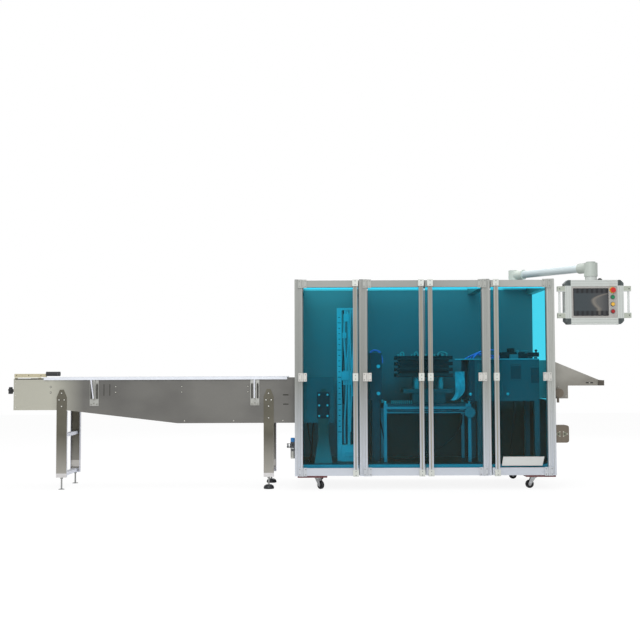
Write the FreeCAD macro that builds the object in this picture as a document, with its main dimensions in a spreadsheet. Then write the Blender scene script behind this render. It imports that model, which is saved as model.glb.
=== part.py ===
import FreeCAD, Part
import os
import re

import Sketcher

# Four-side seal packing machine: a belt conveyor on legs feeds a glazed cabin with four doors,
# where film is pulled, pressed and sealed, and a chute takes the packs out on the right.
# The sizes below are in millimetres and degrees. X starts at the cabin's left face and runs
# to the right, Y starts at its front face and runs to the back, and Z starts at the floor.
# At the end every piece is moved so that the origin is under the middle of the whole machine.
SIZES = [
    # Cabin frame
    ("post_width", 60, "side of the square frame profile"),
    ("groove_width", 10, "mouth of the profile's grooves"),
    ("groove_depth", 5, "depth of the profile's grooves"),
    ("bay_left", 432, "clear width of the left bay"),
    ("bay_middle", 878, "clear width of the double bay"),
    ("bay_right", 432, "clear width of the right bay"),
    ("cabin_depth", 900, "front face to rear face"),
    ("frame_bottom", 105, "underside of the base beams"),
    ("frame_top", 1595, "top of the posts"),
    ("base_height", 81, "height of the base beams"),
    ("deck_thickness", 6, "deck plate on the base beams"),
    ("panel_sheet", 3, "thickness of the back and end sheets"),
    ("panel_rise", 7, "roof's top to the back sheet's upper edge"),
    ("panel_seat", 12, "how far the sheets lie inside the outer faces"),
    ("infeed_gap", 12, "air round the conveyor in the left end sheet"),
    ("right_sheet_top", 671, "top of the right end sheet, under the chute"),
    # Doors
    ("door_gap", 7, "side gap between a leaf and its post"),
    ("leaf_gap", 9, "gap between the two middle leaves"),
    ("door_bottom", 107, "underside of the leaves"),
    ("door_top", 1590, "top of the leaves"),
    ("top_rail", 52, "height of a leaf's top rail"),
    ("bottom_rail", 58, "height of a leaf's bottom rail"),
    ("rail_depth", 25, "depth of the leaf rails"),
    ("pane_thickness", 5, "tinted acrylic pane"),
    ("pane_seat", 10, "how far the pane lies behind the rails' front"),
    ("handle_inset_left", 23, "free edge to the handle's middle, first two leaves"),
    ("handle_inset_right", 37, "free edge to the handle's middle, last two leaves"),
    ("handle_width", 34, "width of the handle profile"),
    ("handle_depth", 20, "depth of the handle profile"),
    ("handle_channel", 16, "width of the channel along the handle"),
    ("handle_channel_depth", 7, "depth of that channel"),
    ("cap_width", 43, "width of the handle's end caps"),
    ("cap_height", 50, "height of the handle's end caps"),
    ("cap_over", 5, "how far a cap reaches past its rail"),
    ("cap_depth", 24, "depth of the end caps and the middle clip"),
    ("clip_width", 40, "width of the handle's middle clip"),
    ("clip_height", 60, "height of the handle's middle clip"),
    ("hinge_middle", 852, "height of the middle hinge and of the clip"),
    # Door hinges
    ("hinge_half", 32, "reach of one hinge leaf from the pin"),
    ("hinge_height", 64, "height of a hinge"),
    ("hinge_leaf", 10, "thickness of a hinge leaf"),
    ("pin_out", 12, "hinge pin in front of the posts' face"),
    ("barrel_radius", 6, "radius of the hinge barrels"),
    ("barrel_middle", 31, "length of the leaf's own barrel"),
    ("barrel_play", 0.5, "end play of that barrel"),
    ("pin_radius", 3, "radius of the hinge pin"),
    ("running_fit", 0.06, "radial clearance of a turning fit"),
    # Casters
    ("caster_height", 91, "floor to the underside of the primer plates"),
    ("caster_plate_length", 225, "primer plate under each corner, along X"),
    ("caster_plate_width", 160, "primer plate, along Y"),
    ("caster_plate_left", 20, "left primer plates from the left face"),
    ("caster_plate_right", 2, "right primer plates from the right face"),
    ("caster_plate_front", 20, "primer plates from the front and rear faces"),
    ("caster_inset", 100, "swivel axis from the front and rear faces"),
    ("caster_left", 175, "swivel axis of the left casters from the left face"),
    ("caster_right", 160, "swivel axis of the right casters from the right face"),
    ("caster_turn_left", 135, "direction in which the left casters trail"),
    ("caster_turn_right", 0, "direction in which the right casters trail"),
    ("caster_trail", 28, "swivel axis to wheel axle"),
    ("wheel_radius", 31.5, "wheel"),
    ("wheel_width", 24, "tread width"),
    ("wheel_play", 3, "wheel to fork cheek"),
    ("wheel_hub", 15, "radius of the wheel's hub face"),
    ("axle_radius", 4, "wheel axle"),
    ("cheek_thickness", 3, "fork cheek"),
    ("cheek_reach", 12, "fork cheek round the axle"),
    ("cheek_top", 40, "width of the cheek under the swivel head"),
    ("swivel_radius", 27, "swivel head of the fork"),
    ("swivel_height", 11, "height of the swivel head"),
    ("swivel_play", 0.5, "swivel head to primer plate"),
    ("kingpin_radius", 6, "kingpin in the primer plate"),
    ("kingpin_length", 10, "length of the kingpin"),
    # Infeed conveyor
    ("conveyor_length", 2467, "left end plate to the end inside the cabin"),
    ("conveyor_inside", 302, "how far the conveyor reaches into the cabin"),
    ("conveyor_front", 103, "front face of the front side plate"),
    ("conveyor_width", 484, "across the side plates"),
    ("side_sheet", 4, "thickness of the side plates"),
    ("side_top", 850, "top edge of the side plates"),
    ("nose_bottom", 607, "lower edge of the side plates at the left"),
    ("belly_bottom", 503, "lower edge of the side plates at the right"),
    ("slope_start", 392, "left end to the start of the slope"),
    ("slope_end", 1261, "left end to the end of the slope"),
    ("slot_length", 44, "slots near the right end of the side plates"),
    ("slot_height", 8, "width of those slots"),
    ("slot_from_cabin", 94, "cabin's face to those slots"),
    ("upper_slot", 715, "height of the upper slot"),
    ("lower_slot", 643, "height of the lower slot"),
    ("cross_tie_radius", 12, "tie rods between the side plates"),
    ("cross_tie_height", 560, "height of the tie rods"),
    ("first_tie", 1330, "left end plate to the first tie rod"),
    ("tie_pitch", 420, "tie rod to tie rod"),
    ("end_plate_drop", 14, "end plates' top below the side plates' top"),
    ("bed_thickness", 5, "slider bed under the belt"),
    ("bed_drop", 3, "belt's top surface below the side plates' top"),
    ("belt_thickness", 4, "belt"),
    ("belt_margin", 12, "belt edge to side plate"),
    ("drum_radius", 36, "end drums"),
    ("drum_inset", 60, "drum axis from each end"),
    ("drum_shaft", 10, "radius of the drum shafts"),
    ("rail_left", 234, "left end plate to the guide rails"),
    ("rail_right", 60, "cabin's face to the end of the guide rails"),
    ("rail_height", 22, "height of the guide rails"),
    ("rail_thickness", 12, "thickness of the guide rails"),
    ("rail_bottom", 837, "underside of the guide rails"),
    ("bracket_width", 68, "rail brackets"),
    ("bracket_bottom", 638, "lower end of the rail brackets"),
    ("bracket_top", 836, "upper end of the rail brackets"),
    ("bracket_sheet", 4, "thickness of the rail brackets"),
    ("bracket_slot", 9, "width of the brackets' slots"),
    ("bracket_slot_length", 110, "length of the brackets' slots"),
    ("bracket_slot_top", 810, "upper end of the brackets' slots"),
    ("bracket_slot_out", 22, "slots from the bracket's middle"),
    ("rod_radius", 7, "rods that carry the guide rails"),
    ("rod_bottom", 695, "lower end of those rods"),
    ("bracket_first", 621, "left end plate to the first bracket's middle"),
    ("bracket_second", 309, "cabin's face to the second bracket's middle"),
    ("leg_width", 78, "leg channel"),
    ("leg_depth", 30, "flanges of the leg channel"),
    ("leg_sheet", 3, "sheet of the legs"),
    ("leg_bottom", 91, "lower end of the legs"),
    ("leg_shoulder", 705, "where the leg's pointed top starts"),
    ("leg_tip", 763, "tip of the leg"),
    ("leg_tip_width", 30, "flat at the tip"),
    ("first_leg", 371, "left end plate to the first legs' middle"),
    ("second_leg", 203, "cabin's face to the second legs' middle"),
    ("leg_tie_bottom", 398, "underside of the upper cross ties"),
    ("leg_tie_height", 25, "height of the cross ties"),
    ("leg_tie_width", 40, "width of the cross ties"),
    ("foot_plate", 6, "plate that closes the leg's lower end"),
    ("stem_radius", 6, "levelling stems"),
    ("disc_radius", 23, "steel foot discs"),
    ("disc_height", 6, "steel foot discs"),
    ("dome_radius", 40, "rubber foot domes"),
    ("dome_height", 35, "rubber foot domes"),
    ("nut_radius", 11, "levelling nuts, across the corners"),
    ("nut_height", 10, "levelling nuts"),
    ("knob_height", 756, "height of the belt tension knob"),
    ("knob_front", 40, "conveyor's front face to the knob's axis"),
    ("knob_radius", 28.5, "tension knob over its lobes"),
    ("knob_hub", 20, "tension knob's hub"),
    ("knob_lobe", 8.5, "radius of a lobe"),
    ("knob_thick", 24, "thickness of the knob's head"),
    ("knob_reach", 46, "end plate to the knob's tip"),
    ("knob_stud", 6, "radius of the knob's stud"),
    ("stud_length", 60, "stud inside the conveyor"),
    ("boss_radius", 14, "boss round the stud"),
    ("boss_length", 12, "boss round the stud"),
    ("bar_left", 9, "left end plate to the hold-down bar"),
    ("bar_length", 241, "hold-down bar"),
    ("bar_bottom", 860, "underside of the bar"),
    ("bar_height", 26, "height of the bar"),
    ("bar_width", 34, "width of the bar"),
    ("grip_length", 107, "black grip on the bar"),
    ("grip_radius", 17, "black grip on the bar"),
    ("grip_axis", 885, "height of the grip's axis"),
    ("bar_foot", 20, "feet of the bar, along X"),
    # Air regulator
    ("regulator_x", 17, "regulator's axis left of the cabin"),
    ("regulator_y", 30, "regulator's axis behind the front face"),
    ("regulator_body", 34, "side of the regulator's body"),
    ("body_bottom", 318, "underside of the body"),
    ("body_top", 362, "top of the body"),
    ("bowl_radius", 16, "filter bowl"),
    ("bowl_bottom", 237, "underside of the bowl"),
    ("dial_radius", 17, "gauge"),
    ("dial_drop", 6, "gauge under the body's middle"),
    ("dial_length", 27, "gauge"),
    ("cap_radius", 15, "regulator's knob"),
    ("cap_top", 393, "top of the regulator's knob"),
    ("port_radius", 6, "air port"),
    ("port_depth", 12, "air port"),
    # Inner legs under the conveyor's right end
    ("inner_leg", 217, "cabin's left face to the inner legs' middle"),
    ("inner_leg_width", 78, "inner legs at the top"),
    ("inner_foot_width", 138, "inner legs at the deck"),
    ("flare_height", 190, "height of the flare over the deck"),
    # Film stand
    ("column_x", 346, "film stand's column"),
    ("stand_y", 330, "film stand's column behind the front face"),
    ("column_width", 37, "side of the column"),
    ("column_top", 1382, "top of the column"),
    ("stand_rod_x", 420, "second upright rod"),
    ("stand_rod_radius", 11, "second upright rod"),
    ("stand_bar_height", 16, "top bar"),
    ("stand_bar_end", 470, "right end of the top bar"),
    ("stand_box_left", 361, "drive box at the foot of the rod"),
    ("stand_box_length", 109, "drive box, along X"),
    ("stand_box_depth", 120, "drive box, along Y"),
    ("stand_box_top", 318, "top of the drive box"),
    ("clamp_bottom", 790, "clamp block on the rod"),
    ("clamp_height", 113, "clamp block on the rod"),
    # Table that carries the pull unit and the press
    ("table_left", 687, "left face of the table legs"),
    ("table_right", 1367, "right face of the table legs"),
    ("table_front", 200, "front face of the table legs"),
    ("table_depth", 420, "table, along Y"),
    ("table_leg", 24, "side of the table legs"),
    ("table_top", 633, "top of the table beams"),
    ("table_beam", 33, "height of the table beams"),
    ("lower_bar_top", 585, "top of the lower bars"),
    ("lower_bar_height", 15, "lower bars"),
    ("table_plate", 10, "plate on the table beams"),
    # Press
    ("press_left", 794, "press plates, left edge"),
    ("press_length", 440, "press plates, along X"),
    ("press_front", 250, "press plates, front edge"),
    ("press_depth", 300, "press plates, along Y"),
    ("press_foot_left", 920, "press base block, left edge"),
    ("press_foot_length", 259, "press base block, along X"),
    ("press_foot_top", 725, "top of the press base block"),
    ("press_plate", 31, "thickness of the lower plate"),
    ("press_middle", 1050, "middle of the base and of the columns"),
    ("press_lower_length", 408, "lower plate, along X"),
    ("press_shoulder", 60, "base block narrower than the plates, along Y"),
    ("press_column_out", 95, "columns from the press's middle, along X"),
    ("press_column_deep", 90, "columns from the press's middle, along Y"),
    ("press_column_radius", 20, "press columns"),
    ("press_column_height", 93, "press columns"),
    ("press_stack_plate", 28, "one plate of the stack"),
    ("press_stack_gap", 18, "gap between the plates of the stack"),
    ("press_spacer_radius", 16, "tie rods through the plates"),
    # Film pull unit
    ("pull_left", 584, "pull unit, left face"),
    ("pull_length", 92, "pull unit, along X"),
    ("pull_front", 240, "pull unit, front face"),
    ("pull_depth", 320, "pull unit, along Y"),
    ("pull_top", 1040, "top of the pull unit"),
    ("pull_bottom", 671, "underside of the pull unit's head"),
    ("pull_foot", 16, "pull unit's foot inside its head"),
    ("pull_knob_low", 723, "lower knob"),
    ("pull_knob_high", 934, "upper knob"),
    ("pull_knob_radius", 14, "pull unit's knobs"),
    ("pull_knob_length", 26, "pull unit's knobs"),
    # Seal housing
    ("seal_left", 1345, "left face of the housing's body"),
    ("seal_length", 545, "housing's body, along X"),
    ("seal_front", 150, "housing's front face"),
    ("seal_depth", 430, "housing, along Y"),
    ("seal_bottom", 663, "underside of the housing"),
    ("seal_top", 990, "top of the housing"),
    ("seal_wall", 8, "walls of the housing"),
    ("seal_leg", 40, "side of the housing's legs"),
    ("seal_leg_inset", 65, "left legs inside the housing's left face"),
    ("head_left", 1600, "seal head, left edge"),
    ("head_length", 220, "seal head, along X"),
    ("head_height", 42, "seal head's lower block"),
    ("wheel_z", 575, "sprocket's axis"),
    ("sprocket_radius", 45, "sprocket over its teeth"),
    ("sprocket_thick", 8, "sprocket"),
    ("sprocket_out", 24, "sprocket in front of the table legs"),
    # Outfeed chute
    ("chute_front", 150, "chute's front side plate"),
    ("chute_width", 400, "across the chute"),
    ("chute_sheet", 4, "chute's side plates"),
    ("chute_high", 977, "top of the side plates at the cabin"),
    ("chute_low", 824, "top of the side plates at the tip"),
    ("chute_tip_bottom", 780, "underside at the tip"),
    ("chute_skirt", 681, "underside of the deep part"),
    ("skirt_right", 129, "right end of the deep part from the cabin"),
    ("chute_top_right", 368, "where the top slope ends, from the cabin"),
    ("chute_right", 395, "right end of the side plates, from the cabin"),
    ("chute_slide", 3, "slide sheet between the side plates"),
    ("tip_slot_left", 266, "slot in the side plates, from the cabin"),
    ("tip_slot_length", 58, "slot in the side plates"),
    ("tip_slot_width", 10, "slot in the side plates"),
    ("slide_high", 836, "slide sheet's top at the housing"),
    ("slide_low", 812, "slide sheet's top at the tip roller"),
    ("tip_roller_radius", 16, "roller at the tip"),
    ("tip_block_length", 44, "bearing blocks at the tip, along X"),
    ("tip_block_height", 41, "bearing blocks at the tip"),
    ("tip_block_depth", 12, "bearing blocks at the tip, along Y"),
    ("tip_block_over", 12, "bearing blocks beyond the side plates' end"),
    ("motor_depth", 60, "outfeed motor, along Y"),
    ("motor_x", 48, "outfeed motor's axis from the cabin"),
    ("motor_z", 724, "outfeed motor's axis"),
    ("motor_radius", 34, "outfeed motor"),
    ("motor_box", 16, "terminal box under the motor"),
    ("motor_box_bottom", 651, "underside of the terminal box"),
    ("motor_box_left", 32, "terminal box, from the cabin"),
    ("socket_out", 102, "socket box, along X"),
    ("socket_round", 18, "rounding of the socket box"),
    ("socket_y", 20, "front face of the socket box"),
    ("socket_depth", 90, "socket box, along Y"),
    ("socket_bottom", 349, "underside of the socket box"),
    ("socket_height", 132, "socket box"),
    # Panel arm
    ("arm_x", 1797, "base swivel"),
    ("arm_y", 650, "base swivel"),
    ("arm_length", 800, "base swivel to elbow"),
    ("arm_angle", -54.4, "direction of the arm at rest"),
    ("arm_rise", 50, "base ring to the middle of the arm's tube"),
    ("arm_radius", 30, "arm tube"),
    ("sleeve_radius", 40, "sleeves at the tube's ends"),
    ("sleeve_length", 110, "sleeves at the tube's ends"),
    ("arm_plate", 10, "mounting plate on the roof beams"),
    ("arm_plate_left", 1720, "left edge of the mounting plate"),
    ("arm_plate_front", 600, "front edge of the mounting plate"),
    ("base_ring_radius", 52, "base ring"),
    ("base_ring_height", 26, "base ring"),
    ("knuckle_radius", 46, "swivel knuckle on the base ring"),
    ("knuckle_over", 41, "knuckle over the tube's middle"),
    ("swivel_pin", 20, "radius of the arm's swivel pins"),
    ("swivel_pin_length", 40, "length of the arm's swivel pins"),
    ("swivel_gap", 0.5, "gap under a swivelling piece"),
    ("elbow_radius", 51, "elbow"),
    ("elbow_under", 69, "elbow under the tube's middle"),
    ("elbow_over", 35, "elbow over the tube's middle"),
    ("elbow_crown", 9, "crown on the elbow"),
    # Operator panel
    ("panel_shift", 14, "panel's middle right of its swivel axis"),
    ("panel_width", 445, "panel, along X"),
    ("panel_height", 336, "panel"),
    ("panel_depth", 90, "panel, along Y"),
    ("panel_top", 1583, "top of the panel"),
    ("panel_corner", 44, "size of the corner pieces"),
    ("panel_rail", 48, "width of the panel's rails"),
    ("panel_rebate", 4, "face behind the rails' front"),
    ("panel_wall", 6, "panel's rails and back"),
    ("bezel_width", 266, "screen bezel"),
    ("bezel_height", 208, "screen bezel"),
    ("bezel_left", 62, "panel's left edge to the bezel"),
    ("bezel_depth", 6, "bezel in front of the panel's face"),
    ("button_x", 138, "buttons right of the panel's middle"),
    ("button_radius", 13, "buttons"),
    ("button_depth", 14, "buttons"),
    ("stop_radius", 20, "emergency stop"),
    ("stop_depth", 26, "emergency stop"),
    ("stop_base", 23, "base of the emergency stop"),
    ("stop_drop", 78, "panel's top to the emergency stop"),
    ("button_first", 131, "panel's top to the first button"),
    ("button_pitch", 54, "button to button"),
    ("ring_radius", 45, "panel's swivel ring"),
    ("grip_out", 40, "panel's side to the handle bar"),
    ("grip_bar_radius", 8, "panel handle bars"),
    ("grip_bar_height", 242, "panel handle bars"),
    ("grip_bracket_height", 40, "panel handle brackets"),
    ("grip_forward", 26, "handles in front of the panel's middle"),
    ("grip_bracket_depth", 36, "panel handle brackets"),
]

# The cabin's posts, as expressions on the sheet: left faces, and the deck's top
POST_LEFT = [
    "0",
    "(post_width + bay_left)",
    "(2 * post_width + bay_left + bay_middle)",
    "(3 * post_width + bay_left + bay_middle + bay_right)",
]
CABIN_LENGTH = "(4 * post_width + bay_left + bay_middle + bay_right)"
DECK_TOP = "(frame_bottom + base_height + deck_thickness)"
REAR_POSTS = "(cabin_depth - post_width)"
CONVEYOR_LEFT = "(conveyor_inside - conveyor_length)"
CONVEYOR_REAR = "(conveyor_front + conveyor_width)"
CONVEYOR_MIDDLE = "(conveyor_front + conveyor_width / 2)"
KNOB_MIDDLE = "(conveyor_front + knob_front)"
ARM_END_X = "(arm_x + arm_length * cos(arm_angle))"
ARM_END_Y = "(arm_y + arm_length * sin(arm_angle))"
ARM_HEIGHT = "(frame_top + arm_plate + base_ring_height + arm_rise)"
ELBOW_BOTTOM = f"({ARM_HEIGHT} - elbow_under)"

doc = FreeCAD.newDocument("packing_machine")
sheet = doc.addObject("Spreadsheet::Sheet", "Sizes")
for row, (alias, value, note) in enumerate(SIZES, start=1):
    sheet.set(f"A{row}", alias)
    sheet.set(f"B{row}", str(value))
    sheet.set(f"C{row}", note)
    sheet.setAlias(f"B{row}", alias)
doc.recompute()

ALIASES = {alias for alias, value, note in SIZES}
TURNED_TO = {
    "x": FreeCAD.Rotation(FreeCAD.Vector(0, 1, 0), 90),
    "y": FreeCAD.Rotation(FreeCAD.Vector(1, 0, 0), -90),
    "z": FreeCAD.Rotation(),
}
nodes = []


def formula(text):
    """An expression on the sheet: each alias in it gets the sheet's name in front."""
    return re.sub(r"[a-z]\w*", lambda word: "Sizes." * (word[0] in ALIASES) + word[0], str(text))


def number(text):
    """The value that an expression has now."""
    return float(sheet.evalExpression(formula(text)))


def bind(item, sizes):
    """Each named property follows its expression on the sheet."""
    for path, text in sizes.items():
        item.setExpression(path, formula(text))
    return item


def place(item, spot):
    """The object's own Placement follows three expressions."""
    return bind(item, {"Placement.Base." + axis: text for axis, text in zip("xyz", spot)})


def box(name, low, size):
    """A block from its low corner and its three lengths."""
    block = doc.addObject("Part::Box", name)
    bind(block, {"Length": size[0], "Width": size[1], "Height": size[2]})
    return place(block, low)


def rod(name, start, axis, radius, length):
    """A round bar from the middle of its first end, along +X, +Y or +Z."""
    bar = doc.addObject("Part::Cylinder", name)
    bar.Placement = FreeCAD.Placement(FreeCAD.Vector(), TURNED_TO[axis])
    bind(bar, {"Radius": radius, "Height": length})
    return place(bar, start)


def fuse(name, *items):
    """One solid from pieces that are welded or moulded together."""
    joined = doc.addObject("Part::MultiFuse", name)
    joined.Shapes = list(items)
    joined.Refine = True
    return joined


def cut(name, base, *tools):
    """The base without the tools' volume."""
    trimmed = doc.addObject("Part::Cut", name)
    trimmed.Base = base
    trimmed.Tool = tools[0] if len(tools) == 1 else fuse(name + "_tools", *tools)
    return trimmed


def group(name, items):
    """Several solids carried as one object."""
    held = doc.addObject("Part::Compound", name)
    held.Links = list(items)
    return held


def node(label, *items):
    """A finished piece, which is written to a file of its own."""
    piece = group(label, items)
    piece.Label = label
    nodes.append(piece)


def new_sketch(body, role):
    """An empty sketch on one of the body's own origin planes."""
    plane = next(feature for feature in body.Origin.OriginFeatures if feature.Role == role)
    sketch = body.newObject("Sketcher::SketchObject", body.Name + "_sketch")
    sketch.AttachmentSupport = [(plane, "")]
    sketch.MapMode = "FlatFace"
    return sketch


def pin_point(sketch, part, end, spot):
    """A sketch point keeps its two distances from the sketch's origin."""
    for kind, text in zip(("DistanceX", "DistanceY"), spot):
        index = sketch.addConstraint(Sketcher.Constraint(kind, -1, 1, part, end, number(text)))
        name = f"place_{index}"
        sketch.renameConstraint(index, name)
        sketch.setExpression(".Constraints." + name, formula(text))


def outline(sketch, corners):
    """A closed run of straight lines through the corners."""
    first = sketch.GeometryCount
    points = [FreeCAD.Vector(number(across), number(up), 0) for across, up in corners]
    for index, point in enumerate(points):
        sketch.addGeometry(Part.LineSegment(point, points[(index + 1) % len(points)]), False)
    for index, corner in enumerate(corners):
        following = first + (index + 1) % len(corners)
        sketch.addConstraint(Sketcher.Constraint("Coincident", first + index, 2, following, 1))
        pin_point(sketch, first + index, 1, corner)


def hole(sketch, centre, radius):
    """A round hole or disc in a sketch."""
    part = sketch.GeometryCount
    middle = FreeCAD.Vector(number(centre[0]), number(centre[1]), 0)
    sketch.addGeometry(Part.Circle(middle, FreeCAD.Vector(0, 0, 1), number(radius)), False)
    pin_point(sketch, part, 3, centre)
    index = sketch.addConstraint(Sketcher.Constraint("Radius", part, number(radius)))
    name = f"radius_{index}"
    sketch.renameConstraint(index, name)
    sketch.setExpression(".Constraints." + name, formula(radius))


def prism(name, role, corners, depth, spot, holes=(), windows=()):
    """An outline on an origin plane, padded along +X, +Y or +Z.

    holes are (centre, radius) and windows are outlines of their own, both inside the outline.
    """
    body = doc.addObject("PartDesign::Body", name)
    sketch = new_sketch(body, role)
    if corners:
        outline(sketch, corners)
    for window in windows:
        outline(sketch, window)
    for centre, radius in holes:
        hole(sketch, centre, radius)
    pad = body.newObject("PartDesign::Pad", name + "_pad")
    pad.Profile = (sketch, [""])
    pad.Reversed = role == "XZ_Plane"
    bind(pad, {"Length": depth})
    return place(body, spot)


def turned(name, corners, spot, axis="z"):
    """A half outline of (radius, height) pairs, revolved about its own axis."""
    body = doc.addObject("PartDesign::Body", name)
    sketch = new_sketch(body, "XZ_Plane")
    outline(sketch, corners)
    spin = body.newObject("PartDesign::Revolution", name + "_spin")
    spin.Profile = (sketch, [""])
    spin.ReferenceAxis = (sketch, ["V_Axis"])
    spin.Angle = 360
    body.Placement = FreeCAD.Placement(FreeCAD.Vector(), TURNED_TO[axis])
    return place(body, spot)


def rectangle(left, low, width, height):
    """The four corners of a rectangle."""
    right = f"{left} + {width}"
    high = f"{low} + {height}"
    return [(left, low), (right, low), (right, high), (left, high)]


# The cabin: profile posts on a base frame, roof beams, a deck and sheet panels

def post_profile():
    """The post's section: a square with a groove in the middle of each side."""
    half = "post_width / 2"
    mouth = "groove_width / 2"
    floor = "(post_width / 2 - groove_depth)"
    quarter = [
        (half, f"-{half}"),
        (half, f"-{mouth}"),
        (floor, f"-{mouth}"),
        (floor, mouth),
        (half, mouth),
    ]
    corners = []
    for across, up in quarter:
        corners.append((across, up))
    for across, up in quarter:
        corners.append((f"-({up})", across))
    for across, up in quarter:
        corners.append((f"-({across})", f"-({up})"))
    for across, up in quarter:
        corners.append((up, f"-({across})"))
    return corners


def frame_posts():
    """Four posts along the front and four along the rear."""
    posts = []
    for index, left in enumerate(POST_LEFT, start=1):
        for side, low in (("front", "0"), ("rear", REAR_POSTS)):
            spot = (f"{left} + post_width / 2", f"{low} + post_width / 2", "frame_bottom")
            post = prism(f"{side}_post_{index}", "XY_Plane", post_profile(),
                         "frame_top - frame_bottom", spot)
            posts.append(post)
    node("frame_posts", *posts)


def beam_grid(label, low, height):
    """Two long beams behind the post rows, with a cross beam at each pair of posts."""
    long_beams = []
    for side, front in (("front", "post_width"), ("rear", "cabin_depth - 2 * post_width")):
        long_beams.append(box(f"{label}_{side}", ("0", front, low),
                              (CABIN_LENGTH, "post_width", height)))
    cross_beams = []
    for index, left in enumerate(POST_LEFT, start=1):
        cross_beams.append(box(f"{label}_cross_{index}", (left, "2 * post_width", low),
                               ("post_width", "cabin_depth - 4 * post_width", height)))
    node(label, fuse(label + "_weld", *long_beams, *cross_beams))


def deck():
    """The deck plate lies on the base beams."""
    node("deck", box("deck_sheet", ("0", "post_width", "frame_bottom + base_height"),
                     (CABIN_LENGTH, "cabin_depth - 2 * post_width", "deck_thickness")))


def back_panels():
    """One sheet in front of the rear beams, from the deck up into the open bays of the roof."""
    low = DECK_TOP
    beam = "(frame_top - post_width)"
    high = "(frame_top - panel_rise)"
    outline_points = [
        ("panel_seat + panel_sheet", low),
        (f"{CABIN_LENGTH} - panel_seat - panel_sheet", low),
        (f"{CABIN_LENGTH} - panel_seat - panel_sheet", beam),
    ]
    for left, width in reversed(list(zip(POST_LEFT, ("bay_left", "bay_middle", "bay_right")))):
        outline_points += [
            (f"{left} + post_width + {width}", beam),
            (f"{left} + post_width + {width}", high),
            (f"{left} + post_width", high),
            (f"{left} + post_width", beam),
        ]
    outline_points.append(("panel_seat + panel_sheet", beam))
    node("back_panels", prism("back_sheet", "XZ_Plane", outline_points, "panel_sheet",
                              ("0", "cabin_depth - 2 * post_width - panel_sheet", "0")))


def end_panels():
    """The left end sheet, open for the conveyor, and the lower right end sheet."""
    front = "post_width"
    depth = "cabin_depth - 2 * post_width"
    opening = rectangle("conveyor_front - infeed_gap", "belly_bottom - infeed_gap",
                        "conveyor_width + 2 * infeed_gap",
                        "side_top + 4 * infeed_gap - belly_bottom + infeed_gap")
    low = DECK_TOP
    high = "frame_top - post_width"
    edge = [(front, low), (f"{front} + {depth}", low), (f"{front} + {depth}", high), (front, high)]
    left_sheet = prism("left_sheet", "YZ_Plane", edge, "panel_sheet", ("panel_seat", "0", "0"),
                       windows=[opening])
    right_x = f"{CABIN_LENGTH} - panel_seat - panel_sheet"
    right_sheet = box("right_sheet", (right_x, front, low),
                      ("panel_sheet", depth, f"right_sheet_top - {low}"))
    node("end_panels", left_sheet, right_sheet)


# Casters: primer plates with the kingpins' bores, forks and wheels

def caster_spots():
    """Name, swivel axis and trailing direction of each caster."""
    right = f"({CABIN_LENGTH} - caster_right)"
    rear = "(cabin_depth - caster_inset)"
    return [
        ("front_left", "caster_left", "caster_inset", "caster_turn_left"),
        ("front_right", right, "caster_inset", "caster_turn_right"),
        ("rear_left", "caster_left", rear, "caster_turn_left"),
        ("rear_right", right, rear, "caster_turn_right"),
    ]


def caster_plates():
    """A thick plate under each corner, with a bore for the kingpin."""
    thickness = "frame_bottom - caster_height"
    right = f"{CABIN_LENGTH} - caster_plate_right - caster_plate_length"
    rear = "cabin_depth - caster_plate_front - caster_plate_width"
    plates = []
    for name, across, along, turn in caster_spots():
        low_x = "caster_plate_left" if "left" in name else right
        low_y = "caster_plate_front" if "front" in name else rear
        blank = box(f"plate_{name}", (low_x, low_y, "caster_height"),
                    ("caster_plate_length", "caster_plate_width", thickness))
        bore = rod(f"kingpin_bore_{name}", (across, along, "caster_height - 1"), "z",
                   "kingpin_radius + running_fit", f"{thickness} + 2")
        plates.append(cut(f"bored_plate_{name}", blank, bore))
    node("caster_plates", *plates)


def caster_fork(name):
    """Swivel head, kingpin, two cheeks and the axle; the swivel axis is the piece's own Z."""
    head_low = "(caster_height - swivel_play - swivel_height)"
    axle_x = "-caster_trail"
    cheek_low = "(wheel_radius - cheek_reach)"
    inner = "(wheel_width / 2 + wheel_play)"
    cheek = [
        (f"{axle_x} - cheek_reach", "wheel_radius"),
        (f"{axle_x} - cheek_reach / 2", cheek_low),
        (f"{axle_x} + cheek_reach / 2", cheek_low),
        (f"{axle_x} + cheek_reach", "wheel_radius"),
        ("cheek_top / 2", f"{head_low} + swivel_height / 2"),
        ("-cheek_top / 2", f"{head_low} + swivel_height / 2"),
    ]
    head = rod(f"{name}_head", ("0", "0", head_low), "z", "swivel_radius", "swivel_height")
    kingpin = rod(f"{name}_kingpin", ("0", "0", f"{head_low} + swivel_height / 2"), "z",
                  "kingpin_radius", "swivel_height / 2 + kingpin_length")
    near = prism(f"{name}_cheek_near", "XZ_Plane", cheek, "cheek_thickness",
                 ("0", f"-{inner} - cheek_thickness", "0"))
    far = prism(f"{name}_cheek_far", "XZ_Plane", cheek, "cheek_thickness", ("0", inner, "0"))
    axle = rod(f"{name}_axle", (axle_x, f"-{inner} - cheek_thickness", "wheel_radius"), "y",
               "axle_radius", f"2 * {inner} + 2 * cheek_thickness")
    return fuse(f"{name}_weld", head, kingpin, near, far, axle)


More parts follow.
